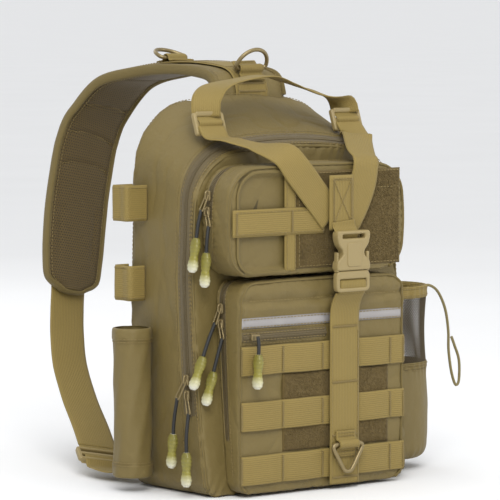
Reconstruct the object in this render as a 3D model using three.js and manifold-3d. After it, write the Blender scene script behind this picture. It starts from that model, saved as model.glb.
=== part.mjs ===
// Fishing tackle sling bag. Millimetres, +Z up, front to -Y, origin at the middle of the flat base.
import * as THREE from 'three';
import { mergeVertices } from 'three/addons/utils/BufferGeometryUtils.js';
import Module from 'manifold-3d';

const wasm = await Module();
wasm.setup();

// Clearances and material thicknesses
const gap = 0.3;
const cloth = 2.4;
const thinCloth = 1.5;
const webbing = 1.5;

// Main compartment: its rear and front panels, and the lean of the front
const bag = {
  half: 110, rear: 48, front: -43, footFront: -60, leanTop: 183,
  rearTop: 333, frontTop: 288, rearShoulder: 62, frontShoulder: 50, heel: 12, crown: 4, bulge: 3,
};
const mainZip = { share: 0.863, half: 9, end: 66 };

// Front pockets
const lower = {
  half: 89, centre: 0, bottom: 2, top: 181, front: -78, shoulder: 15, heel: 12, crown: 1, bulge: 0.8,
};
const upper = {
  half: 95, centre: -6, bottom: 185, top: 277, front: -79, shoulder: 28, heel: 24, crown: 1.5, bulge: 1,
};
const pocketZip = { share: 0.24, half: 3.6 };
const lowerZipEnd = 46;
const upperZipEnd = 231;

// Tool slot behind the upper pocket's front skin, and the recess that it opens into
const slot = { skin: 2, depth: 5, left: -37, right: 80, bottom: 192, top: 269 };
const recess = { left: -92, right: -30, bottom: 189, top: 272, corner: 16, bend: 22 };

// Webbing widths and the strap's places on the front
const strap = { left: 3.6, right: 35.7, foot: 4 };
const strapWidth = 28;
const slingWidth = 36;
const rowTall = 24.5;
const rowBow = 1.2;
const rows = { upper: 115, middle: 68.2, lower: 22.8 };
const stitchShares = [-1, -0.5056, -0.0225, 0.4045, 0.8202, 1];
const stitchColumns = stitchShares.map((share) => share * lower.half);

// Side pieces
const sidePocket = { centreX: 134, centreY: -2, radius: 36, bottom: 9, split: 92, hem: 153, top: 163 };
const rodSleeve = { y: 17, radius: 17, bottom: 12, top: 139 };
const cordRadius = 1.5;

const lerp = (a, b, t) => a + (b - a) * t;
// Height of the top's middle line at a depth
const topLine = (y) => lerp(bag.rearTop, bag.frontTop, (bag.rear - y) / (bag.rear - bag.front));

const mainFront = (z) => (z > bag.leanTop ? bag.front : lerp(bag.footFront, bag.front, z / bag.leanTop));

// Closed body from points and triangles, turned to face outwards
function closedBody(points, triangles) {
  const volume = triangles.reduce((sum, [a, b, c]) => {
    const pa = new THREE.Vector3(...points[a]);
    const pb = new THREE.Vector3(...points[b]);
    return sum + pa.dot(pb.cross(new THREE.Vector3(...points[c])));
  }, 0);
  const index = triangles.flatMap(([a, b, c]) => (volume < 0 ? [a, c, b] : [a, b, c]));
  const geometry = new THREE.BufferGeometry();
  geometry.setAttribute('position', new THREE.Float32BufferAttribute(points.flat(), 3));
  geometry.setIndex(index);
  return geometry;
}

// Rings of equal counts joined into one closed body, its end caps ruled from side to side
function loft(rings, { closed = false } = {}) {
  const count = rings[0].length;
  const points = rings.flat();
  const triangles = [];
  const spans = closed ? rings.length : rings.length - 1;
  for (let r = 0; r < spans; r += 1) {
    const from = r * count;
    const to = ((r + 1) % rings.length) * count;
    for (let k = 0; k < count; k += 1) {
      const next = (k + 1) % count;
      triangles.push([from + k, from + next, to + next], [from + k, to + next, to + k]);
    }
  }
  if (!closed) {
    const last = (rings.length - 1) * count;
    for (let k = 0; k < count / 2 - 1; k += 1) {
      const mate = count - 1 - k;
      triangles.push([k, mate - 1, k + 1], [k, mate, mate - 1]);
      triangles.push([last + k, last + k + 1, last + mate - 1], [last + k, last + mate - 1, last + mate]);
    }
  }
  return closedBody(points, triangles);
}

function toSolid(geometry) {
  const bare = geometry.clone();
  bare.deleteAttribute('normal');
  bare.deleteAttribute('uv');
  const merged = mergeVertices(bare, 1e-4);
  return new wasm.Manifold(new wasm.Mesh({
    numProp: 3,
    vertProperties: new Float32Array(merged.attributes.position.array),
    triVerts: new Uint32Array(merged.index.array),
  }));
}

function fromSolid(solid) {
  const mesh = solid.getMesh();
  const geometry = new THREE.BufferGeometry();
  geometry.setAttribute('position', new THREE.BufferAttribute(new Float32Array(mesh.vertProperties), 3));
  geometry.setIndex(new THREE.BufferAttribute(new Uint32Array(mesh.triVerts), 1));
  return geometry;
}

function cut(body, ...tools) {
  return fromSolid(tools.reduce((left, tool) => left.subtract(toSolid(tool)), toSolid(body)));
}
function join(body, ...others) {
  return fromSolid(others.reduce((all, other) => all.add(toSolid(other)), toSolid(body)));
}

const group = new THREE.Group();
function place(name, geometry, colour, roughness = 0.85, metalness = 0) {
  const finish = new THREE.MeshStandardMaterial({ color: colour, roughness, metalness });
  const mesh = new THREE.Mesh(geometry, finish);
  mesh.name = name;
  group.add(mesh);
  return mesh;
}
const khaki = 0x8f7a4b;
const web = 0x94814c;
const pile = 0x5a4730;
const tape = 0x6b5d40;
const plastic = 0x8d7a55;
const metal = 0x8f8260;

// Rounded outline of one section, from the left heel up and over to the right heel
function outline({ half, centre = 0, bottom, top, shoulder, heel, crown, bulge, levels }) {
  const arcSteps = 4;
  const topSteps = 3;
  const left = [];
  for (let k = 0; k <= arcSteps; k += 1) {
    const a = (k / arcSteps) * Math.PI / 2;
    left.push([-(half - heel) - heel * Math.sin(a), bottom + heel - heel * Math.cos(a)]);
  }
  const low = bottom + heel;
  const high = top - shoulder;
  for (const z of levels) {
    const u = (z - low) / (high - low);
    left.push([-half - bulge * 4 * u * (1 - u), z]);
  }
  for (let k = 0; k <= arcSteps; k += 1) {
    const a = (k / arcSteps) * Math.PI / 2;
    left.push([-(half - shoulder) - shoulder * Math.cos(a), top - shoulder + shoulder * Math.sin(a)]);
  }
  for (let k = 1; k <= topSteps; k += 1) {
    const share = 1 - k / (topSteps + 0.5);
    left.push([-(half - shoulder) * share, top + crown * (1 - share * share)]);
  }
  const right = left.map(([x, z]) => [-x, z]).reverse();
  return [...left, ...right].map(([x, z]) => [x + centre, z]);
}

// Panelled form: a section at a share of the depth, as points with the depth worked out from their height
function section(form, share, inset = 0, wall = 0) {
  const rear = (z) => form.rearAt(z) - wall;
  const front = (z) => form.frontAt(z) + wall;
  const off = inset + wall;
  const plan = outline({
    half: form.half - off,
    centre: form.centre,
    bottom: form.bottom + wall + inset * 0.5,
    top: lerp(form.rearTop, form.frontTop, share) - off,
    shoulder: lerp(form.rearShoulder, form.frontShoulder, share) - wall,
    heel: form.heel - wall,
    crown: form.crown,
    bulge: form.bulge,
    levels: form.levels,
  });
  return plan.map(([x, z]) => [x, lerp(rear(z), front(z), share), z]);
}
function solidForm(form, edges, wall = 0) {
  return loft(edges.map(([share, inset]) => section(form, share, inset, wall)));
}

// Place on a form's left side at a share of the depth and a height
function sideAt(form, share, z) {
  const points = section(form, share);
  const left = points.slice(0, points.length / 2);
  const above = left.findIndex((point) => point[2] >= z);
  const [a, b] = [left[above - 1], left[above]];
  const t = (z - a[2]) / (b[2] - a[2]);
  return { x: lerp(a[0], b[0], t), y: lerp(a[1], b[1], t) };
}

// Path of a band round a form's gusset at a share of the depth, cut off below a height
function gussetPath(form, share, end) {
  const step = 0.03;
  const mid = section(form, share);
  const before = section(form, share - step);
  const after = section(form, share + step);
  const whole = mid.map((point, k) => ({
    point: new THREE.Vector3(...point),
    across: new THREE.Vector3(...after[k]).sub(new THREE.Vector3(...before[k])).normalize(),
  }));
  const kept = [];
  whole.forEach((here, k) => {
    const next = whole[k + 1];
    if (here.point.z >= end) kept.push(here);
    if (next && (here.point.z - end) * (next.point.z - end) < 0) {
      const t = (end - here.point.z) / (next.point.z - here.point.z);
      kept.push({
        point: here.point.clone().lerp(next.point, t),
        across: here.across.clone().lerp(next.across, t).normalize(),
      });
    }
  });
  return kept;
}

// Sweep of a profile of [across, outward] pairs along a path with across directions
function sweep(path, profile, outwardFrom) {
  const rings = path.map((here, k) => {
    const last = path[Math.max(k - 1, 0)].point;
    const next = path[Math.min(k + 1, path.length - 1)].point;
    const along = next.clone().sub(last).normalize();
    const across = here.across.clone().addScaledVector(along, -here.across.dot(along)).normalize();
    const outward = along.clone().cross(across).normalize();
    if (outwardFrom && outward.dot(here.point.clone().sub(outwardFrom)) < 0) outward.negate();
    return profile.map(([u, v]) => (
      here.point.clone().addScaledVector(across, u).addScaledVector(outward, v).toArray()
    ));
  });
  return loft(rings);
}
const flatProfile = (half, low, high) => [[-half, low], [-half, high], [half, high], [half, low]];
const coilProfile = (half) => [
  [-half, -1.9], [-half, -0.7], [-2, -0.7], [-1.6, 0.3], [1.6, 0.3], [2, -0.7], [half, -0.7], [half, -1.9],
];

const smoothCurve = (points) => new THREE.CatmullRomCurve3(points, false, 'centripetal');

// Webbing along a smooth route, rows of [x, y, z, across x, across y, across z]
function ribbon(table, width, thickness, steps) {
  const centres = smoothCurve(table.map(([x, y, z]) => new THREE.Vector3(x, y, z)));
  const path = [];
  for (let k = 0; k <= steps; k += 1) {
    const t = k / steps;
    const at = t * (table.length - 1);
    const row = Math.min(Math.floor(at), table.length - 2);
    const a = new THREE.Vector3(...table[row].slice(3));
    const b = new THREE.Vector3(...table[row + 1].slice(3));
    path.push({ point: centres.getPoint(t), across: a.lerp(b, at - row).normalize() });
  }
  return sweep(path, flatProfile(width / 2, -thickness / 2, thickness / 2));
}

// Flat slab on the front between two heights and two widths
function frontSlab(left, right, bottom, top, near, thickness) {
  const slab = new THREE.BoxGeometry(right - left, thickness, top - bottom);
  slab.translate((left + right) / 2, near - thickness / 2, (top + bottom) / 2);
  return slab;
}

// Outline extruded by a depth, its edges left square
function extruded(shape, depth, curveSegments) {
  return new THREE.ExtrudeGeometry(shape, { depth, bevelEnabled: false, curveSegments });
}

// Outline in X and Z, extruded backwards from its front face
function frontPlate(shape, front, thickness, curveSegments = 5) {
  const plate = extruded(shape, thickness, curveSegments);
  plate.rotateX(Math.PI / 2);
  plate.translate(0, front + thickness, 0);
  return plate;
}
function roundedShape(left, right, bottom, top, corners) {
  const [bl, br, tr, tl] = corners;
  const shape = new THREE.Shape();
  shape.moveTo(left + bl, bottom);
  shape.lineTo(right - br, bottom);
  if (br) shape.absarc(right - br, bottom + br, br, -Math.PI / 2, 0);
  shape.lineTo(right, top - tr);
  if (tr) shape.absarc(right - tr, top - tr, tr, 0, Math.PI / 2);
  shape.lineTo(left + tl, top);
  if (tl) shape.absarc(left + tl, top - tl, tl, Math.PI / 2, Math.PI);
  shape.lineTo(left, bottom + bl);
  if (bl) shape.absarc(left + bl, bottom + bl, bl, Math.PI, Math.PI * 1.5);
  return shape;
}

// Main compartment, hollow, with the zipper's slot round its gusset
const mainForm = {
  half: bag.half, centre: 0, bottom: 0, rearTop: bag.rearTop, frontTop: bag.frontTop,
  rearShoulder: bag.rearShoulder, frontShoulder: bag.frontShoulder,
  heel: bag.heel, crown: bag.crown, bulge: bag.bulge,
  levels: [46, 80, 120, 150, bag.leanTop, 212], rearAt: () => bag.rear, frontAt: mainFront,
};
// Edges: share of the depth and inset there
const mainEdges = [
  [0, 8], [0.03, 3], [0.09, 0], [0.35, 0], [0.6, 0], [0.8, 0], [0.92, 0], [0.975, 1], [1, 4],
];
const innerEdges = [[0, 5], [0.08, 0], [0.5, 0], [0.92, 0], [1, 4]];
const bodyMiddle = new THREE.Vector3(0, 0, 140);
const mainPath = gussetPath(mainForm, mainZip.share, mainZip.end);
place('main_shell', cut(
  solidForm(mainForm, mainEdges),
  solidForm(mainForm, innerEdges, cloth),
  sweep(mainPath, flatProfile(mainZip.half + 2 * gap, -cloth - 2, 5), bodyMiddle),
), khaki);
function trimmedPath(form, share, end) {
  return gussetPath(form, share, end + gap);
}
place('main_zip', sweep(
  trimmedPath(mainForm, mainZip.share, mainZip.end), coilProfile(mainZip.half), bodyMiddle,
), tape);

// Lower front pocket, with padded ridges above its reflective strip: height share of the pocket's top
const ridges = [
  { z: 0.8398, out: 0 }, { z: 0.8674, out: 1.8 }, { z: 0.895, out: 1.2 }, { z: 0.9088, out: 0.2 },
  { z: 0.9282, out: 1.8 }, { z: 0.9613, out: 1.4 }, { z: 0.989, out: 0 },
].map((row) => ({ z: row.z * lower.top, out: row.out }));
function ridgeAt(z) {
  const next = ridges.findIndex((row) => row.z >= z);
  if (next <= 0) return 0;
  const a = ridges[next - 1];
  const b = ridges[next];
  return lerp(a.out, b.out, (z - a.z) / (b.z - a.z));
}
const lowerForm = {
  half: lower.half, centre: lower.centre, bottom: lower.bottom, rearTop: lower.top, frontTop: lower.top,
  rearShoulder: lower.shoulder, frontShoulder: lower.shoulder,
  heel: lower.heel, crown: lower.crown, bulge: lower.bulge,
  levels: [0.3315 * lower.top, 0.6077 * lower.top, ...ridges.slice(0, 4).map((row) => row.z)],
  rearAt: (z) => mainFront(z) - gap, frontAt: (z) => lower.front - ridgeAt(z),
};
const upperForm = {
  half: upper.half, centre: upper.centre, bottom: upper.bottom, rearTop: upper.top, frontTop: upper.top,
  rearShoulder: upper.shoulder, frontShoulder: upper.shoulder,
  heel: upper.heel, crown: upper.crown, bulge: upper.bulge,
  levels: [222, 236], rearAt: () => bag.front - gap, frontAt: () => upper.front,
};
const pocketEdges = [[0, 0], [0.5, 0], [0.88, 0], [0.96, 1.2], [1, 4]];
const pocketInner = [[0, 0], [0.9, 0], [1, 3]];
function pocketShell(form, end, middle, ...tools) {
  const path = gussetPath(form, pocketZip.share, end);
  return cut(
    solidForm(form, pocketEdges),
    ...tools,
    sweep(path, flatProfile(pocketZip.half + gap, -cloth - 1.5, 5), middle),
  );
}
const lowerMiddle = new THREE.Vector3(0, -60, 90);
const upperMiddle = new THREE.Vector3(upper.centre, -60, 231);
place('lower_pocket', pocketShell(
  lowerForm, lowerZipEnd, lowerMiddle, solidForm(lowerForm, pocketInner, cloth),
), khaki);
place('lower_zip', sweep(
  trimmedPath(lowerForm, pocketZip.share, lowerZipEnd), coilProfile(pocketZip.half), lowerMiddle,
), tape);

// Upper front pocket: double front skin with the tool slot, open into the recess at the left
const innerSkin = upper.front + slot.skin + slot.depth + slot.skin;
const upperInnerForm = { ...upperForm, frontAt: () => innerSkin - cloth };
const recessShape = roundedShape(
  recess.left, recess.right, recess.bottom, recess.top, [recess.corner, 0, 0, recess.bend],
);
const recessCut = frontPlate(recessShape, upper.front - 1, 1 + slot.skin + slot.depth);
const slotCut = frontSlab(
  slot.left, slot.right, slot.bottom, slot.top, upper.front + slot.skin + slot.depth, slot.depth,
);
place('upper_pocket', pocketShell(
  upperForm, upperZipEnd, upperMiddle, solidForm(upperInnerForm, pocketInner, cloth), recessCut, slotCut,
), khaki);
place('upper_zip', sweep(
  trimmedPath(upperForm, pocketZip.share, upperZipEnd), coilProfile(pocketZip.half), upperMiddle,
), tape);

// Layers on the upper pocket's front
const panel = { left: -30, right: 84, bottom: 190, top: 272, thick: 1, corner: 22 };
const panelFace = upper.front - gap - panel.thick;
place('loop_panel', frontPlate(
  roundedShape(panel.left, panel.right, panel.bottom, panel.top, [0, panel.corner, panel.corner, 0]),
  panelFace, panel.thick,
), pile, 1);
const bindingRim = 3;
const bindingProud = 1.2;
function bindingShape() {
  const grow = bindingRim;
  const outer = roundedShape(
    recess.left - grow, recess.right - 14, recess.bottom - grow, recess.top + grow,
    [recess.corner + grow, 0, 0, recess.bend + grow],
  );
  const hole = roundedShape(
    recess.left, recess.right - 13, recess.bottom, recess.top, [recess.corner, 0, 0, recess.bend],
  );
  return [outer, hole];
}
const [rimOuter, rimHole] = bindingShape();
place('tool_binding', cut(
  frontPlate(rimOuter, upper.front - gap - bindingProud, bindingProud),
  frontPlate(rimHole, upper.front - gap - bindingProud - 1, bindingProud + 2),
), web);
const bandDown = { left: -43, right: -30.3, bottom: 188, top: 274 };
const layerOne = upper.front - gap;
place('tool_band_down', frontSlab(
  bandDown.left, bandDown.right, bandDown.bottom, bandDown.top, layerOne, webbing,
), web);
const bandAcross = { left: -99, right: -1, bottom: 219, top: 242 };
const layerTwo = Math.min(layerOne - bindingProud, panelFace, layerOne - webbing) - gap;
place('tool_band_across', frontSlab(
  bandAcross.left, bandAcross.right, bandAcross.bottom, bandAcross.top, layerTwo, webbing,
), web);

// Rows of webbing on the lower pocket, bowed out between their stitches
const patchThick = 0.8;
function bowedRow(centre) {
  const height = rowTall / 2;
  const path = [];
  stitchColumns.slice(1).forEach((right, k) => {
    const left = stitchColumns[k];
    const parts = 4;
    for (let j = 0; j < parts; j += 1) {
      const x = lerp(left, right, j / parts);
      path.push([x, Math.sin((j / parts) * Math.PI) * rowBow]);
    }
  });
  path.push([stitchColumns.at(-1), 0]);
  const near = lower.front - patchThick - 2 * gap;
  const rings = path.map(([x, out]) => [
    [x, near - out, centre - height], [x, near - out - webbing, centre - height],
    [x, near - out - webbing, centre + height], [x, near - out, centre + height],
  ]);
  return loft(rings);
}
const patch = { left: -44, right: 72, bottom: 36, top: 102 };
place('pile_patch', frontSlab(
  patch.left, patch.right, patch.bottom, patch.top, lower.front - gap, patchThick,
), pile, 1);
place('molle_upper', bowedRow(rows.upper), web);
place('molle_middle', bowedRow(rows.middle), web);
place('molle_lower', bowedRow(rows.lower), web);
const stripEdge = 1;
const strip = { bottom: 142, tall: 9, thick: 0.7 };
const slotZip = { right: 3, bottom: 131, tall: 8, thick: 1 };
place('reflective_strip', frontSlab(
  -lower.half + stripEdge, lower.half - 2 * stripEdge, strip.bottom, strip.bottom + strip.tall,
  lower.front - gap, strip.thick,
), 0xb4b2bd, 0.4);
place('slot_zip', frontSlab(
  -lower.half + stripEdge, slotZip.right, slotZip.bottom, slotZip.bottom + slotZip.tall,
  lower.front - gap, slotZip.thick,
), tape);

// Strap below the buckle
const strapNear = lower.front - patchThick - 2 * gap - rowBow - webbing - gap;
place('front_strap', ribbon([
  [(strap.left + strap.right) / 2, strapNear - webbing / 2, strap.foot, 1, 0, 0],
  [(strap.left + strap.right) / 2, strapNear - webbing / 2, 60, 1, 0, 0],
  [(strap.left + strap.right) / 2, strapNear - webbing / 2, 132, 1, 0, 0],
  [(strap.left + strap.right) / 2, strapNear - webbing / 2, 150, 1, 0, 0],
  [(strap.left + strap.right) / 2, strapNear - webbing / 2 - 2.5, 160, 1, 0, 0],
  [(strap.left + strap.right) / 2, strapNear - webbing / 2 - 8, 167.8, 1, 0, 0],
], strap.right - strap.left, webbing, 8), web);

// Sizes of the side-release buckle
const buckle = { centre: 19.3, half: 18.2, front: -97, thick: 9, top: 221, femaleTall: 34, maleTall: 18 };
buckle.join = buckle.top - buckle.femaleTall;
buckle.bottom = buckle.join - buckle.maleTall;

// Place of the ladder locks on the shoulders
const lock = { x: 75, y: -17.5, rise: 10.4, wide: 32, tall: 20, thick: 4.5, lean: -0.35 };
lock.z = topLine(lock.y) + lock.rise;

// Diagonal straps and the patch that joins them: across as a share of the lock's place, then the shares of
// the way back from the front and up from the buckle to the lock
function diagonalStrap(layer, rows) {
  return ribbon(rows.map(([x, back, up, ...across]) => [
    x * lock.x, lerp(onFront(layer), lock.y, back), lerp(buckle.top, lock.z, up), ...across,
  ]), strapWidth, webbing, 18);
}
const layerThree = layerTwo - webbing - gap;
const layerFour = layerThree - webbing - gap;
const layerFive = layerFour - webbing - gap;
const onFront = (layer) => layer - webbing / 2;
place('strap_left', diagonalStrap(layerThree, [
  [0.0667, 0, 0.1222, 0.746, 0, 0.666],
  [-0.1867, 0, 0.3556, 0.746, 0, 0.666],
  [-0.4267, 0, 0.5778, 0.746, 0, 0.666],
  [-0.5733, 0.0854, 0.7333, 0.74, 0.2, 0.5],
  [-0.7467, 0.418, 0.8, 0.78, 0.55, 0.15],
  [-0.92, 0.6296, 0.8556, 0.95, 0.25, 0],
  [-1, 0.8262, 0.8833, 1, 0, 0],
]), web);
place('strap_right', diagonalStrap(layerFour, [
  [0.2667, 0, 0.0556, 1, 0, -0.3],
  [0.4267, 0, 0.2778, 0.93, 0, -0.38],
  [0.52, 0, 0.4778, 0.98, 0, -0.2],
  [0.5733, 0.0361, 0.6444, 1, 0.1, 0],
  [0.64, 0.2274, 0.7333, 0.96, 0.25, 0],
  [0.8933, 0.6394, 0.8556, 0.95, 0.25, 0],
  [1, 0.8234, 0.8756, 1, 0, 0],
]), web);
place('strap_patch', frontSlab(0, 26.5, 221.5, 268, layerFive, webbing), web);

// Side-release buckle, fastened
function femaleShape() {
  const half = buckle.half;
  const shape = new THREE.Shape();
  const side = [
    [0.945, 0], [1, 0.1176], [0.89, 0.3529], [0.643, 0.5], [0.643, 0.6176], [0.9725, 0.7647], [1, 0.9412],
    [0.945, 0.9912],
  ].map(([wide, down]) => [wide * half, buckle.top - down * buckle.femaleTall]);
  side.forEach(([x, z], k) => (k ? shape.lineTo(buckle.centre + x, z) : shape.moveTo(buckle.centre + x, z)));
  [...side].reverse().forEach(([x, z]) => shape.lineTo(buckle.centre - x, z));
  return shape;
}
place('buckle_female', frontPlate(femaleShape(), buckle.front, buckle.thick), plastic, 0.55);
const maleOuter = roundedShape(
  buckle.centre - buckle.half, buckle.centre + buckle.half, buckle.bottom, buckle.join, [5, 5, 1, 1],
);
const maleHole = roundedShape(
  buckle.centre - buckle.half + 3.5, buckle.centre + buckle.half - 3.5,
  buckle.bottom + 3.5, buckle.bottom + 0.611 * buckle.maleTall, [1, 1, 1, 1],
);
place('buckle_male', cut(
  frontPlate(maleOuter, buckle.front + 1, buckle.thick - 2.5, 3),
  frontPlate(maleHole, buckle.front - 1, buckle.thick + 2, 1),
), plastic, 0.55);

// Ladder lock: a frame with two slots, standing on the shoulder
function ladderLock(width, height, thickness) {
  const frame = new THREE.BoxGeometry(width, thickness, height);
  const upperSlot = new THREE.BoxGeometry(width - 7, thickness * 2, height * 0.24);
  upperSlot.translate(0, 0, height * 0.22);
  const lowerSlot = upperSlot.clone().translate(0, 0, -height * 0.44);
  return cut(frame, upperSlot, lowerSlot);
}
for (const [name, side] of [['lock_left', -1], ['lock_right', 1]]) {
  const frame = place(name, ladderLock(lock.wide, lock.tall, lock.thick), plastic, 0.55);
  frame.position.set(side * lock.x, lock.y, lock.z);
  frame.rotation.x = lock.lean;
}

// Loose arch of webbing over the top, from lock to lock: across as a share of the lock's place, then
// back and up as shares of the arch's rise
const arch = { rise: 39, wide: 25, steps: 26 };
const archRows = [
  [-1, 0.0641, 0.2667, 0.88, -0.45, -0.05],
  [-0.9667, 0.1667, 0.5128, 0.75, -0.6, -0.15],
  [-0.7733, 0.3462, 0.7821, 0.4, -0.9, -0.1],
  [-0.4667, 0.4744, 0.8974, 0.12, -0.98, 0],
  [0, 0.4487, 1, 0, -1, 0],
  [0.32, 0.4487, 0.8462, 0, -1, -0.1],
  [0.56, 0.3974, 0.6923, 0, -1, -0.12],
  [0.72, 0.2949, 0.5641, 0.05, -0.98, -0.12],
  [0.8533, 0.1667, 0.4103, 0.08, -0.98, -0.08],
  [0.96, 0.0641, 0.2872, 0.1, -0.98, 0],
];
place('handle_arch', ribbon(archRows.map(([x, back, up, ...across]) => [
  x * lock.x, lock.y + back * arch.rise, lock.z + up * arch.rise, ...across,
]), arch.wide, webbing, arch.steps), web);

// Sling strap: padded from the rear top edge over and down, with webbing on its outer face. Shares of the
// bag's half width, of the strap's reach behind the bag, of the bag's height and of the pad's half width
const pad = { half: 31, thick: 9, rows: 13, reach: 194 };
const slingRoute = [
  { x: 0.2182, y: 0.0412, z: 0.967, half: 1.2258 },
  { x: 0.2182, y: 0.0387, z: 1.003, half: 1.2258 },
  { x: 0.2182, y: 0.0722, z: 1.048, half: 1.1935 },
  { x: 0.2091, y: 0.1804, z: 1.0571, half: 1.129 },
  { x: 0.1636, y: 0.3711, z: 1.0631, half: 1.0645 },
  { x: 0.0818, y: 0.6031, z: 1.0511, half: 1.0323 },
  { x: -0.0091, y: 0.8144, z: 1.018, half: 1 },
  { x: -0.0909, y: 0.9536, z: 0.9339, half: 1 },
  { x: -0.1636, y: 0.9948, z: 0.8589, half: 1 },
  { x: -0.2273, y: 1, z: 0.7628, half: 1 },
  { x: -0.2818, y: 0.9948, z: 0.6667, half: 1 },
  { x: -0.3455, y: 0.9691, z: 0.5616, half: 0.9677 },
  { x: -0.4, y: 0.9381, z: 0.4805, half: 0.871 },
  { x: -0.4182, y: 0.9253, z: 0.4535, half: 0.5484 },
  { x: -0.4545, y: 0.9021, z: 0.3994, half: 0.5484 },
  { x: -0.5, y: 0.866, z: 0.3393, half: 0.5484 },
  { x: -0.5636, y: 0.7938, z: 0.2643, half: 0.5484 },
  { x: -0.6455, y: 0.6598, z: 0.1892, half: 0.5484 },
  { x: -0.7455, y: 0.4948, z: 0.1261, half: 0.5484 },
  { x: -0.8545, y: 0.3454, z: 0.0751, half: 0.5484 },
].map((row) => ({
  x: row.x * bag.half, y: bag.rear + row.y * pad.reach, z: row.z * bag.rearTop, half: row.half * pad.half,
}));
const slingCurve = smoothCurve(slingRoute.map((row) => new THREE.Vector3(row.x, row.y, row.z)));
function slingFrame(at) {
  const t = at / (slingRoute.length - 1);
  const row = Math.min(Math.floor(at), slingRoute.length - 2);
  const along = slingCurve.getTangent(t);
  const across = new THREE.Vector3(1, 0, 0).addScaledVector(along, -along.x).normalize();
  const outward = across.clone().cross(along);
  const half = lerp(slingRoute[row].half, slingRoute[row + 1].half, at - row);
  return { point: slingCurve.getPoint(t), across, outward, half };
}
function slingFrames(from, to) {
  return Array.from({ length: (to - from) * 2 + 1 }, (_, k) => slingFrame(from + k / 2));
}
const framePoint = (frame, u, v) => (
  frame.point.clone().addScaledVector(frame.across, u).addScaledVector(frame.outward, v)
);
const framedLoft = (frames, profile) => loft(frames.map((frame) => (
  profile(frame).map(([u, v]) => framePoint(frame, u, v).toArray())
)));
function padProfile({ half }) {
  const thick = pad.thick / 2;
  const side = [
    [half - 7, -thick], [half - 1.5, -thick + 1.2], [half, 0], [half - 1.5, thick - 1.2], [half - 7, thick],
  ];
  return [...side, ...side.map(([u, v]) => [-u, v]).reverse()];
}
place('sling_pad', framedLoft(slingFrames(0, pad.rows), padProfile), khaki);

// Webbing on the pad's outer face, which runs on free below it
const webOut = pad.thick / 2 + 2 * gap + webbing / 2;
const webProfile = () => flatProfile(slingWidth / 2, webOut - webbing / 2, webOut + webbing / 2);
place('sling_webbing', framedLoft(slingFrames(0.5, slingRoute.length - 1), webProfile), web);

// D-rings in webbing keepers on the sling webbing
const ringWire = 1.8;
const ring = { inside: 30, tall: 19 };
function closedTube(points, radius, sides) {
  const rings = points.map((point, k) => {
    const last = points[(k + points.length - 1) % points.length];
    const next = points[(k + 1) % points.length];
    const along = next.clone().sub(last).normalize();
    const across = new THREE.Vector3(0, 1, 0);
    const outward = along.clone().cross(across).normalize();
    return Array.from({ length: sides }, (_, s) => {
      const a = (s / sides) * Math.PI * 2;
      return point.clone().addScaledVector(across, Math.cos(a) * radius)
        .addScaledVector(outward, Math.sin(a) * radius).toArray();
    });
  });
  return loft(rings, { closed: true });
}
function dRingGeometry() {
  const half = ring.inside / 2 + ringWire;
  const points = [new THREE.Vector3(-half + 2, 0, 0), new THREE.Vector3(half - 2, 0, 0)];
  const steps = 12;
  for (let k = 0; k <= steps; k += 1) {
    const a = (k / steps) * Math.PI;
    const lift = ring.tall - half;
    points.push(new THREE.Vector3(half * Math.cos(a), 0, Math.max(lift + half * Math.sin(a), 2)));
  }
  return closedTube(points, ringWire, 6);
}
function keeperGeometry(width) {
  const bore = ringWire + 0.6;
  const shell = bore + webbing;
  const shape = new THREE.Shape();
  const tail = 11;
  shape.moveTo(-tail, -shell);
  shape.lineTo(tail, -shell);
  shape.lineTo(tail, -shell + webbing);
  shape.lineTo(shell, -shell + webbing);
  shape.lineTo(shell, 0);
  shape.absarc(0, 0, shell, 0, Math.PI);
  shape.lineTo(-shell, -shell + webbing);
  shape.lineTo(-tail, -shell + webbing);
  const hole = new THREE.Path();
  hole.absarc(0, 0, bore, 0, Math.PI * 2);
  shape.holes.push(hole);
  const keeper = extruded(shape, width, 6);
  keeper.translate(0, 0, -width / 2);
  return { keeper, shell };
}
const keeperWidth = ring.inside - 4;
const keeperRise = keeperGeometry(keeperWidth).shell;
function ringPlace(t) {
  const frame = slingFrame(t);
  const centre = framePoint(frame, 0, webOut + webbing / 2 + gap + keeperRise);
  return { frame, centre };
}
const dRings = [
  { name: 'front', at: 1.9, lean: -0.3 },
  { name: 'rear', at: 4.6, lean: -1.1 },
];
for (const { name, at, lean } of dRings) {
  const { frame, centre } = ringPlace(at);
  const along = frame.outward.clone().cross(frame.across).normalize();
  const keeper = place(`keeper_${name}`, keeperGeometry(keeperWidth).keeper, web);
  keeper.applyMatrix4(new THREE.Matrix4().makeBasis(along, frame.outward, frame.across.clone()));
  keeper.position.copy(centre);
  const dRing = place(`d_ring_${name}`, dRingGeometry(), metal, 0.45, 0.9);
  const upright = frame.outward.clone().applyAxisAngle(frame.across, lean).normalize();
  const thin = upright.clone().cross(frame.across).normalize();
  dRing.applyMatrix4(new THREE.Matrix4().makeBasis(frame.across, thin, upright));
  dRing.position.copy(centre);
}

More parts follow.
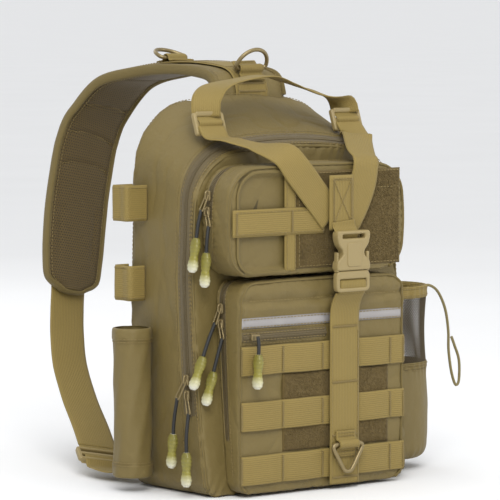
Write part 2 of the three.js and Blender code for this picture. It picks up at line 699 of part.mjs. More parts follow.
// Ladder lock at the strap's foot and the webbing to the bag's corner
const sliderTall = 17;
const footFrame = slingFrame(slingRoute.length - 1);
const footAlong = footFrame.outward.clone().cross(footFrame.across).normalize();
const slider = place('sling_slider', ladderLock(44, sliderTall, 5), plastic, 0.55);
slider.applyMatrix4(new THREE.Matrix4().makeBasis(
  footFrame.across, footFrame.outward, footAlong.clone().negate(),
));
const footEnd = framePoint(footFrame, 0, webOut);
slider.position.copy(footEnd).addScaledVector(footAlong, sliderTall / 2 + gap);
const anchorStart = footEnd.clone().addScaledVector(footAlong, sliderTall + 5 * gap);
const anchorNext = anchorStart.clone().addScaledVector(footAlong, 8);
place('anchor_webbing', ribbon([
  [...anchorStart.toArray(), ...footFrame.across.toArray()],
  [...anchorNext.toArray(), ...footFrame.across.toArray()],
  [-0.9273 * bag.half, bag.rear + 0.1546 * pad.reach, 7.5, 1, 0, 0],
  [-0.8909 * bag.half, bag.rear + 0.0722 * pad.reach, 10, 1, 0, 0],
  [-0.8909 * bag.half, bag.rear + 1, 14, 1, 0, 0],
], 32, webbing, 6), web);

// Rod sleeve and square loops on the left side
const sleeveTall = rodSleeve.top - rodSleeve.bottom;
const boreRadius = rodSleeve.radius - thinCloth;
const sleeveOuter = new THREE.CylinderGeometry(rodSleeve.radius, rodSleeve.radius, sleeveTall, 20);
const sleeveBore = new THREE.CylinderGeometry(boreRadius, boreRadius, sleeveTall + 10, 20);
const sleeve = place('rod_sleeve', cut(sleeveOuter, sleeveBore), khaki);
sleeve.rotation.x = Math.PI / 2;
sleeve.position.set(
  -bag.half - bag.bulge - 2 * gap - rodSleeve.radius, rodSleeve.y, (rodSleeve.top + rodSleeve.bottom) / 2,
);
const rodLoops = [
  { name: 'upper', out: 22, deep: 22.5, behind: 5, tall: 30.5, bottom: 0.6862 },
  { name: 'lower', out: 16, deep: 25, behind: 1, tall: 30, bottom: 0.482 },
];
for (const { name, out, deep, behind, tall, bottom: share } of rodLoops) {
  const rear = bag.rear - behind;
  const front = rear - deep;
  const bottom = share * bag.rearTop;
  const top = bottom + tall;
  const back = (bag.rear - (rear + front) / 2) / (bag.rear - bag.front);
  const near = Math.min(sideAt(mainForm, back, bottom).x, sideAt(mainForm, back, top).x) - 1.5 * gap;
  const shape = roundedShape(near - out, near, front, rear, [2, 1, 1, 2]);
  const inside = roundedShape(near - out + 1.7, near - 1.7, front + 1.7, rear - 1.7, [1, 0, 0, 1]);
  shape.holes.push(inside);
  const loop = extruded(shape, tall, 1);
  loop.translate(0, 0, bottom);
  place(`rod_loop_${name}`, loop, web);
}

// Bottle pocket on the right side: net, hem and plain lower part
function pocketPlan(grow, nearX) {
  const radius = sidePocket.radius + grow;
  const shape = new THREE.Shape();
  shape.moveTo(nearX, sidePocket.centreY - radius);
  shape.lineTo(sidePocket.centreX, sidePocket.centreY - radius);
  shape.absarc(sidePocket.centreX, sidePocket.centreY, radius, -Math.PI / 2, Math.PI / 2);
  shape.lineTo(nearX, sidePocket.centreY + radius);
  return shape;
}
const sideNear = bag.half + bag.bulge + gap;
function pocketWall(bottom, top, grow, wall) {
  const outer = extruded(pocketPlan(grow, sideNear), top - bottom, 9);
  outer.translate(0, 0, bottom);
  const inner = extruded(pocketPlan(grow - wall, sideNear - 5), top - bottom + 4, 9);
  inner.translate(0, 0, bottom - 2);
  return { outer, inner };
}
const netWall = pocketWall(sidePocket.split + gap, sidePocket.hem - gap, 0, thinCloth);
place('side_pocket_mesh', cut(netWall.outer, netWall.inner), 0x7a5f3c);
const hemWall = pocketWall(sidePocket.hem, sidePocket.top, 0.6, thinCloth + 1);
place('side_pocket_hem', cut(hemWall.outer, hemWall.inner), web);

// Lower part: a tray with a rounded bottom, sections from the floor up
const trayRows = [
  { z: 0, in: 9 }, { z: 0.03, in: 4 }, { z: 0.09, in: 1 }, { z: 0.22, in: -1.5 }, { z: 0.6, in: -2 },
  { z: 1, in: -0.4 },
];
function trayRing(z, inset, nearX) {
  const radius = sidePocket.radius - inset;
  const ringPoints = [[nearX, sidePocket.centreY - radius, z]];
  const steps = 9;
  for (let k = 0; k <= steps; k += 1) {
    const a = -Math.PI / 2 + (k / steps) * Math.PI;
    const [u, v] = [radius * Math.cos(a), radius * Math.sin(a)];
    ringPoints.push([sidePocket.centreX + u, sidePocket.centreY + v, z]);
  }
  ringPoints.push([nearX, sidePocket.centreY + radius, z]);
  return ringPoints;
}
const trayHeight = sidePocket.split - sidePocket.bottom;
const trayLevel = (row) => sidePocket.bottom + row.z * trayHeight;
const trayOuter = loft(trayRows.map((row) => trayRing(trayLevel(row), row.in, sideNear)));
const trayInner = loft(trayRows.map((row, k) => {
  const above = k === trayRows.length - 1 ? 4 : 0;
  return trayRing(trayLevel(row) + thinCloth + above, row.in + thinCloth, sideNear + thinCloth);
}));
place('side_pocket_base', cut(trayOuter, trayInner), khaki);

// Elastic cord of the side pocket: out of the hem, down outside it, as one loose loop. Shares of the
// pocket's radius outwards and sideways, and of the cord's hang
const pocketCord = { radius: 1.25, hang: 95 };
const cordRoute = [
  [0.025, -0.1111, -0.0526], [0.2778, -0.1389, -0.0316], [0.5556, -0.1667, -0.0947],
  [0.8056, -0.1667, -0.2632],
  [0.9167, -0.1667, -0.4737], [0.9306, -0.1667, -0.6632], [1.0278, -0.1667, -0.8737], [1.1667, -0.1667, -1],
  [1.2778, -0.1667, -0.9579], [1.2778, -0.1667, -0.7684], [1.125, -0.1667, -0.6211],
  [1.0222, -0.1667, -0.5368],
].map(([out, side, down]) => [
  sidePocket.centreX + (1 + out) * sidePocket.radius, sidePocket.centreY + side * sidePocket.radius,
  sidePocket.top + down * pocketCord.hang,
]);
function tube(points, radius, steps) {
  const circle = new THREE.Shape();
  circle.absarc(0, 0, radius, 0, Math.PI * 2);
  const route = smoothCurve(points.map((point) => new THREE.Vector3(...point)));
  return new THREE.ExtrudeGeometry(circle, {
    steps, bevelEnabled: false, extrudePath: route, curveSegments: 4,
  });
}
place('pocket_cord', tube(cordRoute, pocketCord.radius, 22), web);

// Triangular ring in its keeper on the front strap
const tri = { top: 38.5, wire: 1.8, half: 14.5, drop: 24 };
const triY = strapNear - webbing - gap - (tri.wire + 0.6 + webbing);
const triPoints = [
  [-tri.half, 0, 0], [0, 0, 0], [tri.half, 0, 0], [tri.half + 1.5, 0, -2.5], [8, 0, -tri.drop * 0.6],
  [2.6, 0, -tri.drop],
  [-2.6, 0, -tri.drop], [-8, 0, -tri.drop * 0.6], [-tri.half - 1.5, 0, -2.5],
];
const triLine = triPoints.map((point) => new THREE.Vector3(...point));
const triRing = place('tri_ring', closedTube(triLine, tri.wire, 6), metal, 0.45, 0.9);
triRing.position.set((strap.left + strap.right) / 2, triY, tri.top);
const ringKeeper = place('ring_keeper', keeperGeometry(22).keeper, web);
ringKeeper.applyMatrix4(new THREE.Matrix4().makeBasis(
  new THREE.Vector3(0, 0, 1), new THREE.Vector3(0, -1, 0), new THREE.Vector3(1, 0, 0),
));
ringKeeper.position.set((strap.left + strap.right) / 2, triY, tri.top);

// Zipper slider on a face that looks towards -X, its tab hanging down, swung sideways and lifted off
const tabAxis = -1.9;
function sliderGeometry(tabLong, swing, lift) {
  const body = new THREE.BoxGeometry(3, 7, 9);
  body.translate(-1.5, 0, 0);
  const tab = new THREE.Shape();
  tab.moveTo(-2.4, 1);
  tab.lineTo(-2.9, -tabLong);
  tab.lineTo(2.9, -tabLong);
  tab.lineTo(2.4, 1);
  const hole = new THREE.Path();
  hole.moveTo(-1.2, -3.5);
  hole.lineTo(1.2, -3.5);
  hole.lineTo(1.5, -tabLong + 1.4);
  hole.lineTo(-1.5, -tabLong + 1.4);
  tab.holes.push(hole);
  const plate = extruded(tab, 1.4, 1);
  plate.rotateX(Math.PI / 2);
  plate.rotateZ(Math.PI / 2);
  plate.translate(-0.7, 0, 0);
  plate.rotateY(lift);
  plate.rotateX(swing);
  plate.translate(tabAxis, 0, 0);
  return join(body, plate);
}
// Pull: a cord with a moulded, waisted end, rows of height share and half sizes
const endRows = [
  { at: 0, wide: 2.2, deep: 2 }, { at: 0.06, wide: 4.4, deep: 2.8 }, { at: 0.3, wide: 5.2, deep: 3.2 },
  { at: 0.52, wide: 3.7, deep: 2.6 }, { at: 0.78, wide: 5.4, deep: 3.4 }, { at: 0.94, wide: 4.6, deep: 2.8 },
  { at: 1, wide: 2.2, deep: 1.6 },
];
const endLong = 29;
function endPiece(start, direction) {
  const across = new THREE.Vector3(0, 1, 0).addScaledVector(direction, -direction.y).normalize();
  const deep = direction.clone().cross(across).normalize();
  const rings = endRows.map((row) => Array.from({ length: 8 }, (_, s) => {
    const a = ((s + 0.5) / 8) * Math.PI * 2;
    return start.clone().addScaledVector(direction, row.at * endLong)
      .addScaledVector(across, Math.cos(a) * row.wide)
      .addScaledVector(deep, Math.sin(a) * row.deep).toArray();
  }));
  return loft(rings);
}
function pull(route) {
  const last = new THREE.Vector3(...route.at(-1));
  const before = new THREE.Vector3(...route.at(-2));
  const direction = last.clone().sub(before).normalize();
  return join(tube(route, cordRadius, 5), endPiece(last.clone().addScaledVector(direction, -3), direction));
}
const coilProud = 0.3;
const cordBlack = 0x2b2b2b;
// Bends of each pull's cord from the tab's end: out, sideways and down, as shares of the hang
const hang = 35;
const pulls = [
  {
    name: 'main_high', form: mainForm, share: mainZip.share, z: 98, tab: 18, swing: 0.3, lift: 0.3,
    bends: [[-0.0015, 0.0836, 0.4708], [-0.0158, 0.1122, 0.8993]],
  },
  {
    name: 'main_low', form: mainForm, share: mainZip.share, z: 85, tab: 17, swing: -0.35, lift: 0.1,
    bends: [[-0.102, -0.0257, 0.4568], [-0.1163, -0.04, 0.9425]],
  },
  {
    name: 'upper_high', form: upperForm, share: pocketZip.share, z: 253, tab: 14, swing: 0.1, lift: 0.4,
    bends: [[-0.0585, -0.0009, 0.2591], [-0.1299, -0.0009, 0.6877]],
  },
  {
    name: 'upper_low', form: upperForm, share: pocketZip.share, z: 239.5, tab: 14, swing: -0.4, lift: 0.1,
    bends: [[-0.0744, -0.0212, 0.2449], [-0.103, -0.0212, 0.6449]],
  },
  {
    name: 'lower_high', form: lowerForm, share: pocketZip.share, z: 158, tab: 14, swing: 0.05, lift: 0.36,
    bends: [[-0.2259, -0.069, 0.3369], [-0.4259, -0.0833, 0.7941]],
  },
  {
    name: 'lower_low', form: lowerForm, share: pocketZip.share, z: 145, tab: 14, swing: -0.4, lift: 0.1,
    bends: [[-0.1595, 0.02, 0.402], [-0.2738, 0.0343, 0.802]],
  },
];
for (const { name, form, share, z, tab, swing, lift, bends } of pulls) {
  const runner = place(`slider_${name}`, sliderGeometry(tab, swing, lift), metal, 0.45, 0.9);
  const { y } = sideAt(form, share, z);
  const face = Math.min(...[-4.5, 0, 4.5].map((rise) => sideAt(form, share, z + rise).x)) - coilProud - gap;
  runner.position.set(face, y, z);
  const start = new THREE.Vector3(0, 0, -tab - 4 * gap)
    .applyAxisAngle(new THREE.Vector3(0, 1, 0), lift)
    .applyAxisAngle(new THREE.Vector3(1, 0, 0), swing)
    .add(new THREE.Vector3(face + tabAxis, y, z));
  const route = bends.map(([out, side, down]) => [
    start.x + out * hang, start.y + side * hang, start.z - down * hang,
  ]);
  place(`pull_${name}`, pull([start.toArray(), ...route]), cordBlack, 0.6);
}
const runner = { x: -75, z: 135, tall: 6, wide: 9, thick: 2.6 };
const slotFace = lower.front - gap - 1 - gap;
const slotSlider = new THREE.BoxGeometry(runner.wide, runner.thick, runner.tall);
slotSlider.translate(runner.x, slotFace - runner.thick / 2, runner.z);
place('slider_slot', slotSlider, metal, 0.45, 0.9);
const slotBends = [[-0.0086, -0.1486, -0.0286], [-0.0171, -0.1971, 0.2], [-0.0371, -0.2057, 0.4857]];
place('pull_slot', pull(slotBends.map(([across, out, down]) => [
  runner.x + across * hang, slotFace + out * hang, runner.z - down * hang,
])), cordBlack, 0.6);

export default group;
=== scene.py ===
import math
import random
import bpy
import numpy as np
from mathutils import Matrix, Vector, noise


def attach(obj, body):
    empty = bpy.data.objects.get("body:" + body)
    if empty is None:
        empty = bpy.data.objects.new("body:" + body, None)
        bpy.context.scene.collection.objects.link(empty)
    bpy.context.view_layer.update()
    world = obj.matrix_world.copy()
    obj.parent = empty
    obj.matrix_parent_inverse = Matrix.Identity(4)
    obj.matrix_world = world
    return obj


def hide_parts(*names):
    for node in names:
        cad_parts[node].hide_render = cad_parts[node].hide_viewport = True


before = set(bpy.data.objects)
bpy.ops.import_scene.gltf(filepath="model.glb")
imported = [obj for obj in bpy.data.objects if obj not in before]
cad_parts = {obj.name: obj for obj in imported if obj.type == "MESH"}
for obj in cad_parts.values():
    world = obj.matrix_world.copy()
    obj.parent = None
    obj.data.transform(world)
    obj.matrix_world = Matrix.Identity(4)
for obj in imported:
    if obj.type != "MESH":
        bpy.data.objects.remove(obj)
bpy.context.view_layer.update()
random.seed(11)
MM = 0.001
X, Y, Z = np.eye(3)
OUTWARD = [0, -1, 0]
MAIN_ZIP = 0.863
POCKET_ZIP = 0.24
STRAP_X = 19.65


# Small helpers for points
def lerp(a, b, t):
    return a + (b - a) * t


def unit(v):
    v = np.asarray(v, float)
    return v / np.maximum(np.linalg.norm(v, axis=-1, keepdims=True), 1e-9)


def smooth(t):
    t = np.clip(t, 0, 1)
    return t * t * (3 - 2 * t)


def curve_points(rows, count):
    """Uniform Catmull-Rom curve through rows of any width, evenly spaced in the row number."""
    rows = np.asarray(rows, float)
    first = 2 * rows[0] - rows[1]
    last = 2 * rows[-1] - rows[-2]
    p = np.vstack([first, rows, last])
    out = []
    for at in np.linspace(0, len(rows) - 1, count):
        k = min(int(at), len(rows) - 2)
        t = at - k
        a, b, c, d = p[k:k + 4]
        out.append(0.5 * (2 * b + (c - a) * t + (2 * a - 5 * b + 4 * c - d) * t * t +
            (3 * b - a - 3 * c + d) * t ** 3))
    return np.array(out)


def spaced(points, step):
    """The same polyline with points at even distances."""
    points = np.asarray(points, float)
    gone = np.concatenate([[0], np.cumsum(np.linalg.norm(np.diff(points[:, :3], axis=0), axis=1))])
    count = max(int(round(gone[-1] / step)) + 1, 2)
    at = np.linspace(0, gone[-1], count)
    return np.stack([np.interp(at, gone, points[:, k]) for k in range(points.shape[1])], axis=1)


def tangents(points, closed=False):
    points = np.asarray(points, float)
    if closed:
        return unit(np.roll(points, -1, 0) - np.roll(points, 1, 0))
    return unit(np.gradient(points, axis=0))


def noise_at(points, scale, seed=0.0):
    shift = Vector((seed * 7.3, seed * 3.1, seed * 5.7))
    return np.array([noise.noise(Vector(p) / scale + shift)
        for p in points.reshape(-1, 3)]).reshape(points.shape[:-1])


# Meshes
def make_mesh(name, verts, faces, material, nodes=(), body="bag", uv=None, flat=False):
    mesh = bpy.data.meshes.new(name)
    mesh.from_pydata(np.asarray(verts, float).reshape(-1, 3) * MM, [], faces)
    mesh.materials.append(material)
    if uv is not None:
        layer = mesh.uv_layers.new(name="weave")
        layer.data.foreach_set("uv", np.asarray(uv, np.float32).reshape(-1))
    mesh.polygons.foreach_set("use_smooth", [not flat] * len(mesh.polygons))
    mesh.update()
    obj = bpy.data.objects.new(name, mesh)
    bpy.context.scene.collection.objects.link(obj)
    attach(obj, body)
    if nodes:
        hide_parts(*nodes)
    return obj


def grid(name, points, material, nodes=(), body="bag", wrap=False, around=False, cap=False, box=False):
    """Surface through rows of points. wrap closes each row and around joins the last row to the first."""
    p = np.asarray(points, float)
    rows, cols = p.shape[:2]
    across = np.concatenate([p, p[:, :1]], axis=1) if wrap else p
    u = np.concatenate([[0], np.cumsum(np.linalg.norm(np.diff(across, axis=1), axis=2).max(axis=0))]) * MM
    down = np.concatenate([p, p[:1]], axis=0) if around else p
    v = np.concatenate([[0], np.cumsum(np.linalg.norm(np.diff(down, axis=0), axis=2).mean(axis=1))]) * MM
    r, c = np.meshgrid(np.arange(rows if around else rows - 1), np.arange(cols if wrap else cols - 1),
        indexing="ij")
    r, c = r.ravel(), c.ravel()
    r2, c2 = (r + 1) % rows, (c + 1) % cols
    quads = np.stack([r * cols + c, r * cols + c2, r2 * cols + c2, r2 * cols + c], axis=1)
    flat = p.reshape(-1, 3)
    if box:
        corners = flat[quads] * MM
        normal = np.abs(np.cross(corners[:, 2] - corners[:, 0], corners[:, 3] - corners[:, 1]))
        lead = normal.argmax(axis=1)
        pick = np.array([[1, 2], [0, 2], [0, 1]])[lead]
        uv = np.take_along_axis(corners, pick[:, None, :].repeat(4, axis=1), axis=2)
    else:
        uv = np.stack([np.stack([u[c], v[r]], 1), np.stack([u[c + 1], v[r]], 1),
                       np.stack([u[c + 1], v[r + 1]], 1), np.stack([u[c], v[r + 1]], 1)], axis=1)
    faces = quads.tolist()
    uv = uv.reshape(-1, 2)
    if cap:
        first = list(range(cols))[::-1]
        last = list(range((rows - 1) * cols, rows * cols))
        faces += [first, last]
        uv = np.vstack([uv, flat[first][:, [0, 2]] * MM, flat[last][:, [0, 2]] * MM])
    return make_mesh(name, flat, faces, material, nodes, body, uv)


def copies(name, template, faces, places, material, body="bag", flat=False):
    """Many small copies of one template. places: arrays of origin and of the three axes."""
    origin, ax, ay, az = [np.asarray(a, float) for a in places]
    t = np.asarray(template, float)
    verts = origin[:, None] + t[None, :, :1] * ax[:, None] + t[None, :, 1:2] * ay[:, None] + t[None, :,
        2:] * az[:, None]
    k = len(t)
    every = [[i + n * k for i in face] for n in range(len(origin)) for face in faces]
    return make_mesh(name, verts.reshape(-1, 3), every, material, (), body, None, flat)


def grid_normals(p, wrap=False):
    du = np.roll(p, -1, 1) - np.roll(p, 1, 1) if wrap else np.gradient(p, axis=1)
    dv = np.gradient(p, axis=0)
    return unit(np.cross(du, dv))


# Stitches: small thread capsules along lines that lie on a surface
STITCHES = []


def stitch_template(length, radius):
    rows = [(-0.5, 0.25), (-0.32, 1), (0.32, 1), (0.5, 0.25)]
    verts = [[at * length, radius * size * math.cos(a), radius * size * 0.8 * math.sin(a)]
             for at, size in rows for a in np.arange(5) * 2 * math.pi / 5]
    faces = [[r * 5 + k, r * 5 + (k + 1) % 5, (r + 1) * 5 + (k + 1) % 5, (r + 1) * 5 + k] for r in range(3)
        for k in range(5)]
    return verts, faces + [[4, 3, 2, 1, 0], [15, 16, 17, 18, 19]]


def stitch_line(points, normals, pitch=3.6, lift=0.25, body="bag"):
    rows = np.hstack([np.asarray(points, float), np.broadcast_to(normals, np.shape(points))])
    rows = spaced(rows, pitch)
    if len(rows) < 3:
        return
    mid = (rows[1:] + rows[:-1]) / 2
    along = unit(rows[1:, :3] - rows[:-1, :3])
    n = unit(mid[:, 3:])
    STITCHES.append((body, mid[:, :3] + n * lift, along, unit(np.cross(n, along)), n))


def box_stitch(corners, normal, cross=True, pitch=3.0):
    c = [np.array(k, float) for k in corners]
    for a, b in zip(c, c[1:] + c[:1]):
        stitch_line([a, b], normal, pitch)
    if cross:
        stitch_line([c[0], c[2]], normal, pitch)
        stitch_line([c[1], c[3]], normal, pitch)


def bartack(centre, along, across, length, width=2.2):
    """Dense zigzag of thread."""
    centre, along, across = np.array(centre, float), unit(along), unit(across)
    count = int(length / 0.8)
    zig = [centre + along * (k / count - 0.5) * length + across * (width / 2 if k % 2 else -width / 2)
        for k in range(count + 1)]
    mid = (np.array(zig[1:]) + np.array(zig[:-1])) / 2
    way = unit(np.array(zig[1:]) - np.array(zig[:-1]))
    n = np.broadcast_to(unit(np.cross(along, across)), mid.shape)
    if (n[0] @ np.array([0, -1, 0])) < 0:
        n = -n
    STITCHES.append(("bag", mid + n * 0.25, way, unit(np.cross(n, way)), n))


# Materials
class Nodes:
    def __init__(self, name):
        self.material = bpy.data.materials.new(name)
        self.material.use_nodes = True
        self.tree = self.material.node_tree
        self.shader = self.tree.nodes["Principled BSDF"]
        self.uv = self.add("ShaderNodeUVMap", uv_map="weave").outputs[0]
        self.place = self.add("ShaderNodeTexCoord").outputs["Object"]

    def add(self, kind, inputs=None, **settings):
        node = self.tree.nodes.new(kind)
        for key, value in settings.items():
            setattr(node, key, value)
        for key, value in (inputs or {}).items():
            self.feed(node, key, value)
        return node

    def feed(self, node, key, value):
        if isinstance(value, bpy.types.NodeSocket):
            self.tree.links.new(value, node.inputs[key])
        else:
            node.inputs[key].default_value = value

    def math(self, operation, a, b=0.0):
        return self.add("ShaderNodeMath", {0: a, 1: b}, operation=operation).outputs[0]

    def split(self, vector):
        out = self.add("ShaderNodeSeparateXYZ", {0: vector}).outputs
        return out[0], out[1], out[2]

    def noise(self, scale, detail=3.0, vector=None, roughness=0.5):
        return self.add("ShaderNodeTexNoise",
            {"Vector": vector or self.place, "Scale": scale, "Detail": detail,
                                               "Roughness": roughness}).outputs[0]

    def ramp(self, factor, stops):
        node = self.add("ShaderNodeValToRGB", {0: factor})
        node.color_ramp.elements[0].position, node.color_ramp.elements[0].color = stops[0][0], (*stops[0][1],
            1)
        last = node.color_ramp.elements[1]
        last.position, last.color = stops[-1][0], (*stops[-1][1], 1)
        for at, colour in stops[1:-1]:
            node.color_ramp.elements.new(at).color = (*colour, 1)
        return node.outputs[0]

    def mix(self, factor, a, b):
        node = self.add("ShaderNodeMix", data_type="RGBA")
        self.feed(node, 0, factor)
        self.feed(node, 6, a if isinstance(a, bpy.types.NodeSocket) else (*a, 1))
        self.feed(node, 7, b if isinstance(b, bpy.types.NodeSocket) else (*b, 1))
        return node.outputs[2]

    def bump(self, height, strength=0.5, distance=0.0003, before=None):
        inputs = {"Height": height, "Strength": strength, "Distance": distance}
        if before is not None:
            inputs["Normal"] = before
        return self.add("ShaderNodeBump", inputs).outputs[0]

    def finish(self, colour, roughness, normal=None, **more):
        self.feed(self.shader, "Base Color", colour
            if isinstance(colour, bpy.types.NodeSocket) else (*colour, 1))
        self.feed(self.shader, "Roughness", roughness)
        if normal is not None:
            self.feed(self.shader, "Normal", normal)
        for key, value in more.items():
            self.feed(self.shader, key.replace("_", " "), value)
        return self.material


def tint(colour, k):
    return tuple(min(c * k, 1) for c in colour)


def weave_height(n, pitch):
    """Plain weave: threads over and under in turn."""
    u, v, _ = n.split(n.uv)
    a = n.math("SINE", n.math("MULTIPLY", u, math.pi / pitch))
    b = n.math("SINE", n.math("MULTIPLY", v, math.pi / pitch))
    over = n.math("GREATER_THAN", n.math("MULTIPLY", a, b), 0.0)
    return n.math("ADD", n.math("MULTIPLY", n.math("ABSOLUTE", a), over),
                  n.math("MULTIPLY", n.math("ABSOLUTE", b), n.math("SUBTRACT", 1.0, over)))


def woven_material(name, colour, pitch, roughness, sheen=0.15, strength=0.5, blotch=0.1, coat=0.0):
    n = Nodes(name)
    height = weave_height(n, pitch)
    large = n.noise(22, 4)
    fine = n.noise(900, 2)
    base = n.mix(large, tint(colour, 1 - blotch), tint(colour, 1 + blotch))
    thread = n.mix(height, tint(colour, 0.62), tint(colour, 1.14))
    shade = n.mix(0.5, base, thread)
    shade = n.mix(n.math("MULTIPLY", fine, 0.16), shade, tint(colour, 1.4))
    rough = n.math("ADD", roughness - 0.07, n.math("MULTIPLY", large, 0.14))
    wrinkle = n.bump(n.noise(42, 4, roughness=0.6), 0.45, 0.0045)
    normal = n.bump(height, strength, pitch * 0.28, n.bump(n.noise(160, 3), 0.3, 0.0005, wrinkle))
    return n.finish(shade, rough, normal, Sheen_Weight=sheen, Coat_Weight=coat, Coat_Roughness=0.45)


def webbing_material(name, colour, rib=0.0017, roughness=0.7):
    """Ribbed webbing: cords along the length with picks across them."""
    n = Nodes(name)
    u, v, _ = n.split(n.uv)
    cords = n.math("ABSOLUTE", n.math("SINE", n.math("MULTIPLY", u, math.pi / rib)))
    step = n.math("MULTIPLY", n.math("FLOOR", n.math("DIVIDE", u, rib)), 0.5)
    picks = n.math("ABSOLUTE", n.math("SINE",
        n.math("MULTIPLY", n.math("ADD", n.math("DIVIDE", v, 0.0013), step), math.pi)))
    height = n.math("ADD", n.math("MULTIPLY", cords, 0.7), n.math("MULTIPLY", picks, 0.45))
    large = n.noise(30, 3)
    shade = n.mix(0.55, n.mix(large, tint(colour, 0.88), tint(colour, 1.1)),
        n.mix(height, tint(colour, 0.55), tint(colour, 1.18)))
    shade = n.mix(n.math("MULTIPLY", n.noise(1400, 2), 0.2), shade, tint(colour, 1.5))
    return n.finish(shade, roughness, n.bump(height, 0.65, 0.0005), Sheen_Weight=0.05)


def pile_material(name, colour):
    n = Nodes(name)
    cells = n.add("ShaderNodeTexVoronoi", {"Vector": n.place, "Scale": 1100.0}).outputs["Distance"]
    fuzz = n.noise(1500, 4, roughness=0.7)
    height = n.math("ADD", cells, fuzz)
    shade = n.mix(fuzz, tint(colour, 0.45), tint(colour, 1.55))
    shade = n.mix(n.math("MULTIPLY", n.noise(45, 3), 0.5), shade, tint(colour, 1.25))
    return n.finish(shade, 0.92, n.bump(height, 0.8, 0.0007), Sheen_Weight=0.06)


def airmesh_material(name, colour):
    """Knitted spacer mesh: rows of small holes set half a step apart, painted dark for the shade inside them.
    """
    n = Nodes(name)
    u, v, _ = n.split(n.uv)
    row = n.math("FLOOR", n.math("DIVIDE", v, 0.0024))
    a = n.math("FRACT", n.math("ADD", n.math("DIVIDE", u, 0.0030), n.math("MULTIPLY", row, 0.5)))
    b = n.math("FRACT", n.math("DIVIDE", v, 0.0024))
    da = n.math("POWER", n.math("SUBTRACT", a, 0.5), 2.0)
    db = n.math("POWER", n.math("SUBTRACT", b, 0.5), 2.0)
    far = n.math("SQRT", n.math("ADD", da, db))
    edge = n.add("ShaderNodeMapRange", {"Value": far, "From Min": 0.16, "From Max": 0.32},
        interpolation_type="SMOOTHSTEP").outputs[0]
    # painted shade: the holes are darkened to 0.28 of the colour to stand for shade inside the mesh
    shade = n.mix(edge, tint(colour, 0.28), n.mix(n.noise(700, 3), tint(colour, 0.85), tint(colour, 1.25)))
    return n.finish(shade, 0.78, n.bump(edge, 0.9, 0.0009, n.bump(n.noise(1500, 2), 0.3, 0.0002)),
        Sheen_Weight=0.05)


def plastic_material(name, colour, roughness=0.42):
    n = Nodes(name)
    large = n.noise(35, 4)
    scratch = n.noise(420, 5, roughness=0.65)
    shade = n.mix(large, tint(colour, 0.94), tint(colour, 1.07))
    rough = n.math("ADD", roughness, n.math("MULTIPLY", scratch, 0.12))
    return n.finish(shade, rough, n.bump(n.noise(2600, 2), 0.18, 0.0001), Coat_Weight=0.08)


def metal_material(name, colour, metallic=0.55, roughness=0.3):
    n = Nodes(name)
    worn = n.ramp(n.noise(260, 5, roughness=0.7), [(0.60, (0, 0, 0)), (0.72, (1, 1, 1))])
    shade = n.mix(worn, colour, tint(colour, 1.45))
    rough = n.math("ADD", roughness, n.math("MULTIPLY", n.noise(500, 4), 0.16))
    return n.finish(shade, rough, n.bump(n.noise(900, 3), 0.1, 0.0001), Metallic=metallic)


def cord_material(name, colour, pitch=0.0016):
    n = Nodes(name)
    u, v, _ = n.split(n.uv)
    one = n.math("SINE", n.math("MULTIPLY", n.math("ADD", n.math("MULTIPLY", u, 0.9), v), math.pi / pitch))
    two = n.math("SINE", n.math("MULTIPLY", n.math("SUBTRACT", n.math("MULTIPLY", u, 0.9), v),
        math.pi / pitch))
    height = n.math("MAXIMUM", n.math("ABSOLUTE", one), n.math("ABSOLUTE", two))
    shade = n.mix(height, tint(colour, 0.5), tint(colour, 1.3))
    return n.finish(shade, 0.6, n.bump(height, 0.6, 0.0003), Sheen_Weight=0.0)


def pull_material(name):
    """Moulded end: olive, and paler and clearer towards its tip."""
    n = Nodes(name)
    _, v, _ = n.split(n.uv)
    shade = n.ramp(n.math("DIVIDE", v, 0.032), [
        (0.0, (0.19, 0.165, 0.030)), (0.6, (0.29, 0.255, 0.045)), (0.8, (0.60, 0.57, 0.36)),
        (1.0, (0.76, 0.74, 0.64))])
    shade = n.mix(n.math("MULTIPLY", n.noise(600, 3), 0.25), shade, (0.05, 0.05, 0.02))
    return n.finish(shade, 0.38, n.bump(n.noise(1500, 2), 0.15, 0.0001), Subsurface_Weight=0.15,
        Subsurface_Radius=(0.002, 0.002, 0.001))


def reflective_material(name):
    n = Nodes(name)
    u, v, _ = n.split(n.uv)
    a = n.math("ABSOLUTE", n.math("SINE", n.math("MULTIPLY", n.math("ADD", u, v), math.pi / 0.0012)))
    b = n.math("ABSOLUTE", n.math("SINE", n.math("MULTIPLY", n.math("SUBTRACT", u, v), math.pi / 0.0012)))
    height = n.math("MULTIPLY", a, b)
    shade = n.mix(n.noise(60, 4), (0.23, 0.215, 0.205), (0.34, 0.32, 0.31))
    shade = n.mix(n.math("MULTIPLY", height, 0.35), shade, (0.50, 0.48, 0.47))
    return n.finish(shade, 0.36, n.bump(height, 0.4, 0.0001), Metallic=0.25)


KHAKI = (0.158, 0.113, 0.028)
WEB = (0.222, 0.157, 0.036)
cloth = woven_material("khaki_cloth", KHAKI, 0.0009, 0.58, sheen=0.04, coat=0.05)
